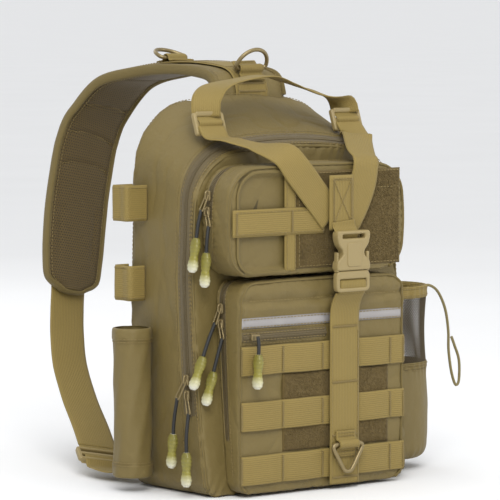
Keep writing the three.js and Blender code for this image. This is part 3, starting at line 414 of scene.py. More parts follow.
# painted shade: khaki darkened to 0.42 for the floor of the recess on the upper pocket, standing for the
# shade inside the recess
recess_shade_cloth = woven_material("khaki_painted_recess_shade", tint(KHAKI, 0.42), 0.0009, 0.7, sheen=0.02)
web = webbing_material("webbing", WEB)
binding = webbing_material("binding_tape", tint(KHAKI, 0.92), 0.0012)
pile = pile_material("loop_pile", (0.112, 0.074, 0.018))
airmesh = airmesh_material("spacer_mesh", (0.092, 0.060, 0.015))
net_thread = woven_material("net_thread", (0.070, 0.048, 0.016), 0.0005, 0.75)
tape = woven_material("zip_tape", (0.105, 0.076, 0.028), 0.0006, 0.7, strength=0.4)
tooth = plastic_material("zip_tooth", (0.120, 0.088, 0.036), 0.38)
thread = plastic_material("thread", (0.215, 0.155, 0.050), 0.55)
plastic = plastic_material("buckle_plastic", (0.285, 0.215, 0.088), 0.40)
metal = metal_material("ring_metal", (0.26, 0.20, 0.095))
reflective = reflective_material("reflective")
black_cord = cord_material("pull_cord", (0.013, 0.013, 0.012))
olive_cord = cord_material("elastic_cord", (0.17, 0.135, 0.05))
moulded = pull_material("pull_end")


# Forms: a section at a share of the depth, the same shape as the frame's parts
def main_front(z):
    return np.where(z > 183, -43.0, lerp(-60.0, -43.0, z / 183))


def ridges(z):
    """Quilted ridges at the top of the lower pocket, with a stitched line between them."""
    return 2.0 * np.exp(-((z - 158) / 4.2) ** 2) + 2.1 * np.exp(-((z - 171.5) / 4.6) ** 2)


MAIN = dict(half=110, centre=0, bottom=0, rear_top=333, front_top=288, rear_round=62, front_round=50, heel=12,
    crown=4, bulge=3,
            rear=lambda z: 48.0 + 0 * z, front=main_front)
LOWER = dict(half=89, centre=0, bottom=2, rear_top=181, front_top=181, rear_round=15, front_round=15, heel=12,
    crown=1, bulge=0.8,
             rear=lambda z: main_front(z) - 0.3, front=lambda z: -78.0 - ridges(z))
UPPER = dict(half=95, centre=-6, bottom=185, rear_top=277, front_top=277, rear_round=28, front_round=28,
    heel=24, crown=1.5, bulge=1,
             rear=lambda z: -43.3 + 0 * z, front=lambda z: -79.0 + 0 * z)


def outline(half, centre, bottom, top, rounding, heel, crown, bulge, fine):
    arc, side, crest, base = (int(k * fine) for k in (16, 46, 26, 40))
    turn = np.linspace(0, math.pi / 2, arc, endpoint=False)
    left = [np.stack([-(half - heel) - heel * np.sin(turn), bottom + heel - heel * np.cos(turn)], 1)]
    low, high = bottom + heel, top - rounding
    u = np.linspace(0, 1, side, endpoint=False)
    left.append(np.stack([-half - bulge * 4 * u * (1 - u), low + (high - low) * u], 1))
    left.append(np.stack([-(half - rounding) - rounding * np.cos(turn), high + rounding * np.sin(turn)], 1))
    share = np.linspace(1, 0, crest, endpoint=False)
    left.append(np.stack([-(half - rounding) * share, top + crown * (1 - share ** 2)], 1))
    left = np.vstack(left)
    right = (left * [-1, 1])[::-1]
    floor = np.linspace(half - heel, -(half - heel), base + 2)[1:-1]
    points = np.vstack([left, right, np.stack([floor, np.full(base, bottom)], 1)])
    return points + [centre, 0]


def section(form, share, inset=0.0, fine=1.0):
    half = form["half"] - inset
    plan = outline(half, form["centre"], form["bottom"] + inset * 0.5,
        lerp(form["rear_top"], form["front_top"], share) - inset,
                   max(lerp(form["rear_round"], form["front_round"], share), 2), form["heel"], form["crown"],
                   form["bulge"], fine)
    x, z = plan[:, 0], plan[:, 1]
    return np.stack([x, lerp(form["rear"](z), form["front"](z), share), z], 1)


def rounded_edges(depth, rear_radius, front_radius, count, grooves=()):
    """Shares of the depth with the insets of rounded edges, closer together there and at a groove."""
    rows = []
    for a in np.linspace(0, math.pi / 2, 6):
        rows.append((rear_radius * (1 - math.cos(a)) / depth, rear_radius * (1 - math.sin(a))))
    inner = np.linspace(rear_radius / depth, 1 - front_radius / depth, count)[1:-1]
    extra = [g + o / depth for g, wide in grooves for o in (-wide - 0.8, -wide, wide, wide + 0.8)]
    inner = np.unique(np.concatenate([inner, extra]))
    rows += [(s, 0.0) for s in inner]
    for a in np.linspace(math.pi / 2, 0, 6):
        rows.append((1 - front_radius * (1 - math.cos(a)) / depth, front_radius * (1 - math.sin(a))))
    return rows


def shell(name, form, depth, edges, groove, node, front_shape, fine=1.0, amount=1.0, seed=1.0, rings=26):
    """Cloth skin of a form: rear panel, gusset with the zipper's groove, and front panel, with creases."""
    rows, kinds = [], []
    rear = section(form, edges[0][0], edges[0][1], fine)
    middle = np.array([form["centre"], 0, (form["bottom"] + form["front_top"]) / 2])
    for t in np.linspace(0.04, 0.97, rings):
        ring = rear.copy()
        ring[:, [0, 2]] = middle[[0, 2]] + (rear[:, [0, 2]] - middle[[0, 2]]) * t
        ring[:, 1] = form["rear"](ring[:, 2])
        rows.append(ring)
        kinds.append((-1, t))
    for share, inset in edges:
        rows.append(section(form, share, inset, fine))
        kinds.append((0, share))
    front = rows[-1]
    for t in np.linspace(0.97, 0.04, rings):
        ring = front.copy()
        ring[:, [0, 2]] = middle[[0, 2]] + (front[:, [0, 2]] - middle[[0, 2]]) * t
        ring[:, 1] = form["front"](ring[:, 2])
        rows.append(ring)
        kinds.append((1, t))
    p = np.array(rows)
    n = grid_normals(p, wrap=True)
    if (n[len(p) // 2, 60] @ (p[len(p) // 2, 60] - [0, -20, 150])) < 0:
        n = -n
    away = 0.85 * noise_at(p, 48, seed) + 0.5 * noise_at(p, 19, seed + 1)
    crease = np.abs(noise_at(p * [1, 1.6, 0.7], 34, seed + 2))
    away -= 0.95 * np.exp(-(crease / 0.06) ** 2)
    distance = np.concatenate([[0], np.cumsum(np.linalg.norm(np.diff(p[len(p) // 2], axis=0), axis=1))])
    for r, (kind, at) in enumerate(kinds):
        if kind == 0:
            near = min(at, 1 - at) * depth
            wander = 2 * np.sin(distance / 23)
            away[r] += 0.5 * math.exp(-near / 7) * np.sin(distance * 2 * math.pi / 8.5 + wander)
            if groove:
                share, wide, end = groove
                gone = abs(at - share) * depth
                dip = smooth((wide + 0.8 - gone) / 0.8) * smooth((p[r, :, 2] - end) / 4)
                away[r] = away[r] * amount * (1 - dip * 0.8) - 1.9 * dip
                pucker = math.exp(-abs(gone - wide - 4) / 3.5)
                away[r] += 0.3 * pucker * np.sin(distance * 2 * math.pi / 6.5) * (1 - dip)
            else:
                away[r] *= amount
        else:
            near = (1 - at) * min(form["half"], 90)
            away[r] *= amount
            away[r] += 0.3 * math.exp(-near / 8) * np.sin(distance * 2 * math.pi / 9)
    if front_shape is not None:
        away += front_shape(p)
    p = p + n * away[..., None]
    return grid(name, p, cloth, [node], wrap=True, cap=True, box=True)


def gusset(form, share, end, fine=1.0):
    """Line round a form's gusset, with outward and across directions, above a height."""
    mid = section(form, share, 0, fine)
    across = unit(section(form, share + 0.02, 0, fine) - section(form, share - 0.02, 0, fine))
    count = len(mid) - int(40 * fine)
    mid, across = mid[:count], across[:count]
    along = tangents(mid)
    out = unit(np.cross(along, across))
    if out[count // 2, 2] < 0:
        out = -out
    keep = mid[:, 2] > end
    return mid[keep], out[keep], across[keep]


def gusset_ribbon(name, form, share, end, offset, half, lift, material, nodes=(), thick=0.9):
    mid, out, across = gusset(form, share, end)
    rows = spaced(np.hstack([mid, out, across]), 2.2)
    mid, out, across = rows[:, :3], unit(rows[:, 3:6]), unit(rows[:, 6:])
    profile = [(-half, 0), (-half, -thick), (half, -thick), (half, 0), (half - 0.5, 0.18), (0, 0.2),
        (-half + 0.5, 0.18)]
    p = np.stack([mid + across * (offset + u) + out * (lift + v) for u, v in profile], axis=1)
    return grid(name, p, material, nodes, wrap=True, cap=True)


def teeth(name, mid, out, across, pitch=1.5, wide=2.1, lift=0.0):
    """Two rows of coil teeth that meet in the middle."""
    rows = spaced(np.hstack([mid, out, across]), pitch)
    mid, out, across = rows[:, :3], unit(rows[:, 3:6]), unit(rows[:, 6:])
    along = tangents(mid)
    profile = ((-0.46, 0), (-0.3, 0.75), (0.3, 0.75), (0.46, 0))
    template = [[x, y * (1 if abs(x) < 0.9 else 0.55), z] for x in (-1.0, -0.8, 0.8, 1.0) for y, z in profile]
    template = [[x * wide / 2, y * pitch * 0.95, z * (1.0 if abs(x) < 0.9 else 0.5)] for x, y, z in template]
    faces = [[r * 4 + k, r * 4 + (k + 1) % 4, (r + 1) * 4 + (k + 1) % 4, (r + 1) * 4 + k] for r in range(3)
        for k in range(4)]
    faces += [[3, 2, 1, 0], [12, 13, 14, 15]]
    left = mid + across * wide * 0.42 + out * lift
    right = mid - across * wide * 0.42 + along * pitch / 2 + out * lift
    origin = np.vstack([left, right])
    return copies(name, template, faces,
        (origin, np.vstack([across, across]), np.vstack([along, along]), np.vstack([out, out])), tooth)


# Main compartment
def main_slump(p):
    """Broad hollows: the top sags a little between the straps and the sides draw in above the sleeve."""
    x, y, z = p[..., 0], p[..., 1], p[..., 2]
    sag = -1.6 * np.exp(-((x + 15) / 45) ** 2) * smooth((z - 285) / 25) * smooth((y + 40) / 20)
    side = -1.5 * np.exp(-((z - 205) / 22) ** 2) * (np.abs(x) > 95)
    fold = 0.9 * np.sin((z + 0.45 * y) / 6.2) * np.exp(-((z - 128) / 26) ** 2) * (x > 95)
    fold_left = 0.8 * np.sin((z - 0.5 * y) / 7.0) * np.exp(-((z - 270) / 22) ** 2) * (x < -80)
    return sag + side + fold + fold_left


MAIN_DEPTH = 97.0
shell("body_skin", MAIN, MAIN_DEPTH, rounded_edges(MAIN_DEPTH, 8, 4, 34, [(MAIN_ZIP, 8.6)]),
    (MAIN_ZIP, 8.6, 66), "main_shell", main_slump, seed=1.0)
gusset_ribbon("main_zip_tape", MAIN, MAIN_ZIP, 66, 0, 9.2, -1.0, tape, ["main_zip"])
mid, out, across = gusset(MAIN, MAIN_ZIP, 67)
teeth("main_zip_teeth", mid, out, across, 1.5, 2.3, lift=-0.75)
for offset in (-7.0, 7.0):
    stitch_line(mid + across * offset + out * -0.8, out)
mid, out, across = gusset(MAIN, MAIN_ZIP, 14)
for offset in (-11.8, 11.0):
    stitch_line(mid + across * offset + out * 0.1, out)
for share in (0.075, 0.965):
    mid, out, across = gusset(MAIN, share, 10)
    stitch_line(mid + out * 0.05, out)


# Piping along the rear and front edges of the gusset
def piping(name, form, share, inset, radius, end):
    keep = section(form, share, inset)[:-40]
    rows = spaced(keep[keep[:, 2] > end], 2.5)
    tube(name, rows, radius, 8, binding)


def tube_points(points, radius, sides, closed=False, hint=(0, 1, 0)):
    points = np.asarray(points, float)
    along = tangents(points, closed)
    side = unit(np.cross(along, np.array(hint, float)) + 1e-6)
    up = unit(np.cross(side, along))
    radius = np.broadcast_to(radius, (len(points),))
    turn = np.arange(sides) * 2 * math.pi / sides
    ways = np.cos(turn)[None, :, None] * side[:, None] + np.sin(turn)[None, :, None] * up[:, None]
    return points[:, None] + radius[:, None, None] * ways


def tube(name, points, radius, sides, material, nodes=(), body="bag", closed=False, hint=(0, 1, 0)):
    rings = tube_points(points, radius, sides, closed, hint)
    return grid(name, rings, material, nodes, body, wrap=True, around=closed, cap=not closed)


piping("piping_rear", MAIN, 0.03, 4.6, 1.5, 6)
piping("piping_front", MAIN, 0.985, 1.6, 1.2, 6)


# Front pockets
def lower_shape(p):
    x, y, z = p[..., 0], p[..., 1], p[..., 2]
    front = smooth((-y - 70) / 6)
    groove = -1.0 * np.exp(-((z - 164.8) / 1.2) ** 2) * front
    quilt = 0.5 * np.sin(x / 5.2 + 0.8 * np.sin(x / 17)) * np.exp(-((z - 164) / 9) ** 2) * front
    drape = -0.7 * np.exp(-((z - 90) / 6) ** 2) * front
    return groove + quilt + drape


def upper_shape(p):
    x, y, z = p[..., 0], p[..., 1], p[..., 2]
    front = smooth((-y - 72) / 5)
    inside = smooth((x + 91) / 3) * smooth((-32 - x) / 3) * smooth((z - 190) / 3) * smooth((271 - z) / 3)
    return front * inside * -3.2


shell("lower_skin", LOWER, 30.0, rounded_edges(30, 2.5, 4.5, 18, [(POCKET_ZIP, 3.6)]), (POCKET_ZIP, 3.6, 46),
    "lower_pocket", lower_shape, seed=4.0, amount=0.55, rings=40)
shell("upper_skin", UPPER, 35.7, rounded_edges(35.7, 2.5, 4.5, 18, [(POCKET_ZIP, 3.6)]),
    (POCKET_ZIP, 3.6, 231), "upper_pocket", upper_shape, seed=7.0, amount=0.6, rings=36)
for form, label, end, node in ((LOWER, "lower", 46, "lower_zip"), (UPPER, "upper", 231, "upper_zip")):
    gusset_ribbon(label + "_zip_tape", form, POCKET_ZIP, end, 0, 4.2, -1.0, tape, [node])
    mid, out, across = gusset(form, POCKET_ZIP, end + 1)
    teeth(label + "_zip_teeth", mid, out, across, 1.4, 2.0, lift=-0.8)
    mid, out, across = gusset(form, POCKET_ZIP, form["bottom"] + 12)
    for offset in (-5.6, 5.6):
        stitch_line(mid + across * offset + out * 0.1, out, 3.2)
    piping(label + "_piping", form, 0.985, 1.4, 1.15, form["bottom"] + 2)


def sheet_grid(left, right, bottom, top, front, step, edge, roll=0.8, bump=0.0, bump_scale=30, seed=0.0,
        corner=0.0):
    """Front of a flat piece, rolled back at its border."""
    nx, nz = max(int((right - left) / step), 4), max(int((top - bottom) / step), 4)
    x, z = np.meshgrid(np.linspace(left, right, nx + 1), np.linspace(bottom, top, nz + 1))
    if corner:
        u = (x - left) / (right - left) * 2 - 1
        v = (z - bottom) / (top - bottom) * 2 - 1
        pull = corner * (np.abs(u) * np.abs(v)) ** 6
        x = x - np.sign(u) * pull
        z = z - np.sign(v) * pull
    y = np.full_like(x, front)
    p = np.stack([x, y, z], 2)
    near = np.minimum(np.minimum(x - left, right - x), np.minimum(z - bottom, top - z))
    p[..., 1] += edge * (1 - np.sqrt(np.clip(1 - (1 - np.clip(near / roll, 0, 1)) ** 2, 0, 1)))
    if bump:
        p[..., 1] -= bump * noise_at(p, bump_scale, seed) * np.clip(near / 4, 0, 1)
    return p


def front_piece(name, left, right, bottom, top, front, thick, material, slot, nodes=(), step=2.0, turn=False,
        **more):
    p = sheet_grid(left, right, bottom, top, front, step, thick, **more)
    if turn:
        p = np.transpose(p, (1, 0, 2))
    back = p.copy()
    back[..., 1] = front + thick + 0.2
    rim = np.concatenate([back[:1], p, back[-1:]], axis=0)
    first = rim[:, :1].copy()
    last = rim[:, -1:].copy()
    first[..., 1] = front + thick + 0.2
    last[..., 1] = front + thick + 0.2
    return grid(name, np.concatenate([first, rim, last], axis=1), material, nodes)


def tufts(name, left, right, bottom, top, front, count, holes=(), body="bag"):
    """Short curly loops of pile."""
    points, ways = [], []
    for _ in range(count):
        x, z = random.uniform(left, right), random.uniform(bottom, top)
        if any(a < x < b and c < z < d for a, b, c, d in holes):
            continue
        points.append([x, front, z])
        ways.append(random.uniform(0, 2 * math.pi))
    origin, ways = np.array(points), np.array(ways)
    ax = np.stack([np.cos(ways), np.zeros(len(ways)), np.sin(ways)], 1)
    ay = np.broadcast_to([0.0, -1.0, 0.0], origin.shape)
    az = np.cross(ax, ay)
    arc = [(-0.55, 0), (-0.45, 0.45), (0, 0.75), (0.45, 0.45), (0.55, 0)]
    template = [[u, v, w] for u, v in arc for w in (-0.11, 0.11)]
    faces = [[2 * k, 2 * k + 1, 2 * k + 3, 2 * k + 2] for k in range(4)]
    return copies(name, template, faces, (origin, ax, ay, az), pile, body)


# Loop panel, recess and its bindings on the upper pocket
front_piece("loop_panel_face", -30, 84, 190, 272, -80.3, 1.0, pile, "loop_pile", ["loop_panel"], bump=0.25,
    bump_scale=22, seed=3)
tufts("loop_panel_tufts", -28, 82, 192, 270, -80.2, 9000)
for z in (192, 256, 270):
    stitch_line([[-28, -80.6, z], [82, -80.6, z]], OUTWARD)
for x in (-28, 82):
    stitch_line([[x, -80.6, 192], [x, -80.6, 270]], OUTWARD)


def rounded_line(left, right, bottom, top, corners, count=10):
    bl, br, tr, tl = corners
    points = []
    for cx, cz, r, start in ((left + bl, bottom + bl, bl, math.pi),
        (right - br, bottom + br, br, 1.5 * math.pi),
                             (right - tr, top - tr, tr, 0), (left + tl, top - tl, tl, 0.5 * math.pi)):
        for a in np.linspace(start, start + math.pi / 2, count if r else 1):
            points.append([cx + r * math.cos(a), cz + r * math.sin(a)])
    return np.array(points)


ring = rounded_line(-92.5, -38, 188.5, 272.5, [16, 1, 1, 22])
ring = np.vstack([ring, ring[:1]])
line = spaced(np.stack([ring[:, 0], np.full(len(ring), -79.9), ring[:, 1]], 1), 2.0)[:-1]
flat_tube = tube_points(line, 1.0, 10, True)
centre = line[:, None]
away = flat_tube - centre
away[..., 1] *= 0.55
away[..., [0, 2]] *= 1.55
grid("recess_binding", centre + away, binding, ["tool_binding"], wrap=True, around=True)
# the recess floor uses the darkened khaki, which is painted shade of the recess
front_piece("recess_floor", -90, -40, 191, 270, -75.0, 0.6, recess_shade_cloth, "khaki_cloth", bump=1.2,
    bump_scale=24, seed=9)


# Webbing along a route with rounded edges
def strap_mesh(name, rows, width, thick, nodes=(), body="bag", step=2.2, wave=0.25, seed=0.0,
        material=None):
    rows = spaced(curve_points(rows, 160), step)
    mid, across = rows[:, :3], unit(rows[:, 3:6])
    along = tangents(mid)
    across = unit(across - along * (across * along).sum(1, keepdims=True))
    out = unit(np.cross(along, across))
    half = (rows[:, 6] if rows.shape[1] > 6 else np.full(len(rows), width / 2))[:, None]
    nx = 14
    top = [(u, thick / 2) for u in np.linspace(-1, 1, nx)]
    low = [(u, -thick / 2) for u in np.linspace(1, -1, nx)]
    ring = []
    for u, v in top + low:
        squeeze = 0.35 if abs(u) == 1 else (1.12 if abs(u) > 0.8 else 1.0)
        ring.append(mid + across * half * u + out * v * squeeze)
    p = np.stack(ring, axis=1)
    lift = wave * noise_at(p, 26, seed) if wave else 0
    p = p + out[:, None] * (lift[..., None] if wave else 0)
    grid(name, p, material or web, nodes, body, wrap=True, cap=True)
    return mid, out, across


def edge_stitches(mid, out, across, offset, lift, low=0.0, high=1.0, body="bag"):
    a, b = int(low * len(mid)), max(int(high * len(mid)), 3)
    for side in (-1, 1):
        stitch_line(mid[a:b] + across[a:b] * offset * side + out[a:b] * lift, out[a:b] * np.sign(lift), 3.2,
            0.1, body)


front_piece("band_down", -43, -30.3, 188, 274, -80.9, 1.4, web, "webbing", ["tool_band_down"])
for x in (-41, -32.3):
    stitch_line([[x, -81.0, 190], [x, -81.0, 272]], OUTWARD)
front_piece("band_across", -99, -1, 219, 242, -82.6, 1.5, web, "webbing", ["tool_band_across"], turn=True,
    bump=0.5, bump_scale=30, seed=5)
for z in (221.5, 239.5):
    stitch_line([[-97, -82.9, z], [-3, -82.9, z]], OUTWARD)
for x in (-96, -37, -3.5):
    bartack([x, -82.9, 230.5], [0, 0, 1], [1, 0, 0], 19)

# Lower pocket's rows of webbing, pile patches, reflective strip and small zipper
COLUMNS = [-89, -45, -2, 36, 73, 89]
front_piece("pile_patch_face", -44, 72, 36, 102, -79.1, 0.8, pile, "loop_pile", ["pile_patch"])
tufts("pile_patch_tufts", -43, 71, 36.5, 101.5, -79.0, 5200, [(-100, 100, 55, 81), (3.6, 35.7, 0, 200)])


def bowed_row(name, level, tall, node, bow=1.5, seed=0.0):
    xs = np.unique(np.concatenate([np.linspace(a, b, 16) for a, b in zip(COLUMNS, COLUMNS[1:])]))
    out = np.zeros_like(xs)
    for a, b in zip(COLUMNS, COLUMNS[1:]):
        inside = (xs >= a) & (xs <= b)
        out[inside] = bow * np.sin(np.pi * (xs[inside] - a) / (b - a)) ** 0.7 * min((b - a) / 40, 1)
    rows = []
    levels = [(-tall / 2, 0.9), (-tall / 2, 0.2), (-tall / 2 + 0.7, 0), (-tall / 4, 0), (0, 0), (tall / 4, 0),
        (tall / 2 - 0.7, 0), (tall / 2, 0.2), (tall / 2, 0.9)]
    for x, o in zip(xs, out):
        wob = 0.35 * noise.noise(Vector((x / 30, level, seed)))
        rows.append([[x, -80.1 - o + depth * 1.5, level + dz + wob] for dz, depth in levels])
    grid(name, rows, web, [node])
    for x in COLUMNS[:-1] + [88]:
        bartack([x, -80.5, level], [0, 0, 1], [1, 0, 0], tall - 3, 1.8)


for k, (level, node) in enumerate(((115, "molle_upper"), (68.2, "molle_middle"), (22.8, "molle_lower"))):
    bowed_row("row_" + node, level, 24.5, node, seed=k)
front_piece("reflective_face", -88, 87, 142, 151, -79.0, 0.8, reflective, "reflective", ["reflective_strip"],
    bump=0.4, bump_scale=20)
for z in (143.2, 149.8):
    stitch_line([[-87, -79.3, z], [86, -79.3, z]], OUTWARD)
front_piece("slot_zip_tape", -88, 3, 131, 139, -79.2, 0.9, tape, "zip_tape", ["slot_zip"])
slot_line = np.array([[x, -79.2, 135] for x in np.linspace(-86, 2, 60)])
teeth("slot_zip_teeth", slot_line, np.tile([0.0, -1, 0], (60, 1)), np.tile([0.0, 0, 1], (60, 1)), 1.4, 1.9,
    lift=0.0)
for z, front in ((132, -79.3), (138, -79.3), (129, -78.3), (141, -78.3)):
    stitch_line([[-87, front, z], [2, front, z]], OUTWARD)
xs = np.linspace(-80, 80, 60)
stitch_line(np.stack([xs, np.full(60, -78.6), 164.8 + 0.4 * np.sin(xs / 20)], 1), OUTWARD)

# Strap below the buckle, diagonal straps, patch
mid, out, across = strap_mesh("front_strap_web", [
    [STRAP_X, -83.15, 4, 1, 0, 0], [STRAP_X, -83.15, 60, 1, 0, 0], [STRAP_X, -83.15, 132, 1, 0, 0],
    [STRAP_X, -83.3, 150, 1, 0, 0],
    [STRAP_X, -85.6, 160, 1, 0, 0], [STRAP_X, -91.0, 168.2, 1, 0, 0]], 32, 1.5, ["front_strap"], seed=2)
edge_stitches(mid, out, across, 14.2, -0.9 if out[0, 1] > 0 else 0.9, 0.0, 0.8)
for z in (10.0, 46.0, 91.5, 139.0):
    bartack([STRAP_X, -84.2, z], [1, 0, 0], [0, 0, 1], 27)
strap_mesh("strap_left_web", [
    [5, -83.65, 232, 0.746, 0, 0.666], [-14, -83.65, 253, 0.746, 0, 0.666],
    [-32, -83.65, 273, 0.746, 0, 0.666],
    [-43, -78, 287, 0.74, 0.2, 0.5], [-56, -56, 293, 0.78, 0.55, 0.15], [-69, -42, 298, 0.95, 0.25, 0],
    [-75, -29, 300.5, 1, 0, 0],
    [-75, -19.5, 310, 1, 0, 0]], 28, 1.5, ["strap_left"], seed=3)
strap_mesh("strap_right_web", [
    [20, -85.45, 226, 1, 0, -0.3], [32, -85.45, 246, 0.93, 0, -0.38], [39, -85.45, 264, 0.98, 0, -0.2],
    [43, -83, 279, 1, 0.1, 0],
    [48, -70, 287, 0.96, 0.25, 0], [67, -42, 298, 0.95, 0.25, 0], [75, -29.5, 299.8, 1, 0, 0],
    [75, -19.5, 310, 1, 0, 0]],
    28, 1.5, ["strap_right"], seed=4)
front_piece("strap_patch_face", 0, 26.5, 221.5, 268, -88.0, 1.5, web, "webbing", ["strap_patch"], bump=0.3,
    bump_scale=20)
box_stitch([[3, -88.3, 226], [23.5, -88.3, 226], [23.5, -88.3, 265], [3, -88.3, 265]], OUTWARD)
box_stitch([[4.2, -88.3, 227.2], [22.3, -88.3, 227.2], [22.3, -88.3, 263.8], [4.2, -88.3, 263.8]], OUTWARD,
    False)


# Plates cut to an outline with rounded rims
def plate(name, outer, holes, depth, bevel, material, matrix, nodes=(), body="bag"):
    curve = bpy.data.curves.new(name, "CURVE")
    curve.dimensions = "2D"
    curve.fill_mode = "BOTH"
    curve.extrude = depth / 2 - bevel
    curve.bevel_depth = bevel
    curve.bevel_resolution = 3
    curve.offset = -bevel
    for ring in [outer, *holes]:
        spline = curve.splines.new("POLY")
        spline.points.add(len(ring) - 1)
        for point, (x, y) in zip(spline.points, ring):
            point.co = (x, y, 0, 1)
        spline.use_cyclic_u = True
    holder = bpy.data.objects.new(name + "_curve", curve)
    bpy.context.scene.collection.objects.link(holder)
    bpy.context.view_layer.update()
    mesh = bpy.data.meshes.new_from_object(holder.evaluated_get(bpy.context.evaluated_depsgraph_get()))
    bpy.data.objects.remove(holder)
    verts = np.array([list(v.co) for v in mesh.vertices])
    m = np.array(matrix, float)
    verts = verts @ m[:3, :3].T + m[:3, 3]
    faces = [list(p.vertices) for p in mesh.polygons]
    bpy.data.meshes.remove(mesh)
    obj = make_mesh(name, verts, faces, material, nodes, body, None, False)
    obj.data.set_sharp_from_angle(angle=math.radians(40))
    return obj


def axes(x, y, z, at):
    m = np.eye(4)
    m[:3, 0], m[:3, 1], m[:3, 2], m[:3, 3] = x, y, z, at
    return m


def front_axes(y):
    return axes([1, 0, 0], [0, 0, 1], [0, -1, 0], [0, y, 0])


def rounded(points, radius, steps=5):
    """Polygon with rounded corners."""
    points = np.array(points, float)
    out = []
    for k, here in enumerate(points):
        a, b = points[k - 1] - here, points[(k + 1) % len(points)] - here
        ra = min(radius, np.linalg.norm(a) * 0.45)
        rb = min(radius, np.linalg.norm(b) * 0.45)
        p, q = here + unit(a) * ra, here + unit(b) * rb
        for t in np.linspace(0, 1, steps):
            out.append((1 - t) ** 2 * p + 2 * t * (1 - t) * here + t * t * q)
    return out


# Side-release buckle
side = [(17.2, 221), (18.2, 217), (16.2, 209), (11.7, 204), (11.7, 200), (17.7, 195), (18.2, 189),
    (17.2, 187.3)]
female = [(19.3 + x, z) for x, z in side] + [(19.3 - x, z) for x, z in side[::-1]]
plate("buckle_top", rounded(female, 2.2), [rounded([(7, 214.5), (31.6, 214.5), (31.6, 218), (7, 218)], 1)],
    8.6, 1.5, plastic,
      front_axes(-92.4), ["buckle_female"])
plate("buckle_face", rounded([(11.5, 190.5), (27.1, 190.5), (27.1, 211), (11.5, 211)], 3), [], 1.6, 0.7,
    plastic, front_axes(-96.6))
male = [(1.1, 169), (37.5, 169), (37.5, 187), (1.1, 187)]
plate("buckle_bottom", rounded(male, 5),
    [rounded([(4.8, 172.6), (33.8, 172.6), (33.8, 180), (4.8, 180)], 1.2)], 6.2, 1.4, plastic,
      front_axes(-92.8), ["buckle_male"])
for x in (3.2, 35.4):
    plate("buckle_prong_%d" % (x > 10),
        rounded([(x - 1.6, 186), (x + 1.6, 186), (x + 2.4 * (1 if x > 19 else -1) * 0.3 + 1.2, 203),
        (x - 1.2, 203)], 1.2), [], 5, 1.0,
          plastic, front_axes(-92.6))
plate("buckle_bar", rounded([(3.5, 176.2), (35, 176.2), (35, 179.2), (3.5, 179.2)], 1), [], 3, 0.9, plastic,
    front_axes(-91.0))
strap_mesh("buckle_wrap", [[STRAP_X, -91.8, 167.6, 1, 0, 0], [STRAP_X, -94.9, 173, 1, 0, 0],
    [STRAP_X, -94.6, 177.5, 1, 0, 0], [STRAP_X, -91.6, 180.6, 1, 0, 0]],
           29, 1.3, wave=0, step=0.8)
strap_mesh("buckle_root", [[14.5, -90.6, 213.5, 1, 0, 0], [14.5, -92.3, 219, 1, 0, 0],
    [14.0, -89.4, 224.5, 1, 0, 0], [13.6, -88.9, 229, 1, 0, 0]],
           25, 1.3, wave=0, step=0.8)


def ladder(name, width, height, thick, matrix, nodes, body="bag"):
    """Ladder lock: frame, two slots and a gripping bar, with a lifting lip."""
    w, h = width / 2, height / 2
    holes = [rounded([(-w + 3.6, z - height * 0.11), (w - 3.6, z - height * 0.11),
        (w - 3.6, z + height * 0.11), (-w + 3.6, z + height * 0.11)], 0.9)
             for z in (height * 0.22, -height * 0.22)]
    plate(name, rounded([(-w, -h), (w, -h), (w, h), (-w, h)], 2.6), holes, thick, 1.2, plastic,
        matrix, nodes, body)
    m = np.array(matrix)
    lip = m @ axes([1, 0, 0], [0, 0.9, 0.42], [0, -0.42, 0.9], [0, h * 0.86, thick * 0.42])
    plate(name + "_lip", rounded([(-w + 2, -1.4), (w - 2, -1.4), (w - 3, 2.0), (-w + 3, 2.0)], 1), [], 1.8,
        0.7, plastic, lip, (), body)


for label, side_x in (("left", -75), ("right", 75)):
    c, s = math.cos(-0.35), math.sin(-0.35)
    ladder("lock_%s_frame" % label, 32, 20, 4.5,
        axes([1, 0, 0], [0, -s, c], [0, -c, -s], [side_x, -17.5, 311]), ["lock_" + label])
    strap_mesh("lock_%s_wrap" % label,
        [[side_x, -20.5, 305, 1, 0, 0], [side_x, -20.2, 309, 1, 0, 0], [side_x, -20.9, 312.5, 1, 0, 0],
        [side_x, -17.2, 315.5, 1, 0, 0],
                                      [side_x, -14.2, 318, 1, 0, 0]], 25, 1.3, wave=0, step=0.8)
strap_mesh("arch_web", [
    [-76, -15, 317, 0.9, -0.4, 0], [-75, -13, 325, 0.84, -0.5, -0.05], [-71, -9.5, 333, 0.7, -0.65, -0.15],
    [-58, -4, 341.5, 0.4, -0.9, -0.1], [-35, 1, 346, 0.12, -0.98, 0], [0, 0, 350, 0, -1, 0],
    [24, 0, 344, 0, -1, -0.1], [42, -2, 338, 0.02, -0.98, -0.2], [56, -6, 333.5, 0.15, -0.95, -0.25],
    [68, -10.5, 328.5, 0.4, -0.9, -0.15], [75, -13.5, 322.5, 0.75, -0.6, 0], [76, -15, 316.5, 0.9, -0.4, 0]],
    25, 1.5, ["handle_arch"], seed=6, wave=0.5)

# Sling strap
SLING = np.array([
    [24, 56, 322, 38], [24, 55.5, 334, 38], [24, 62, 347, 37], [23, 83, 352, 35], [18, 120, 354, 33],
    [9, 165, 350, 32],
    [-1, 206, 339, 31], [-10, 233, 311, 31], [-18, 241, 286, 31], [-25, 242, 254, 31], [-31, 241, 222, 31],
    [-38, 236, 187, 30],
    [-44, 230, 160, 27], [-46, 227.5, 151, 17], [-50, 223, 133, 17], [-55, 216, 113, 17], [-62, 202, 88, 17],
    [-71, 176, 63, 17],
    [-82, 144, 42, 17], [-94, 115, 25, 17]], float)


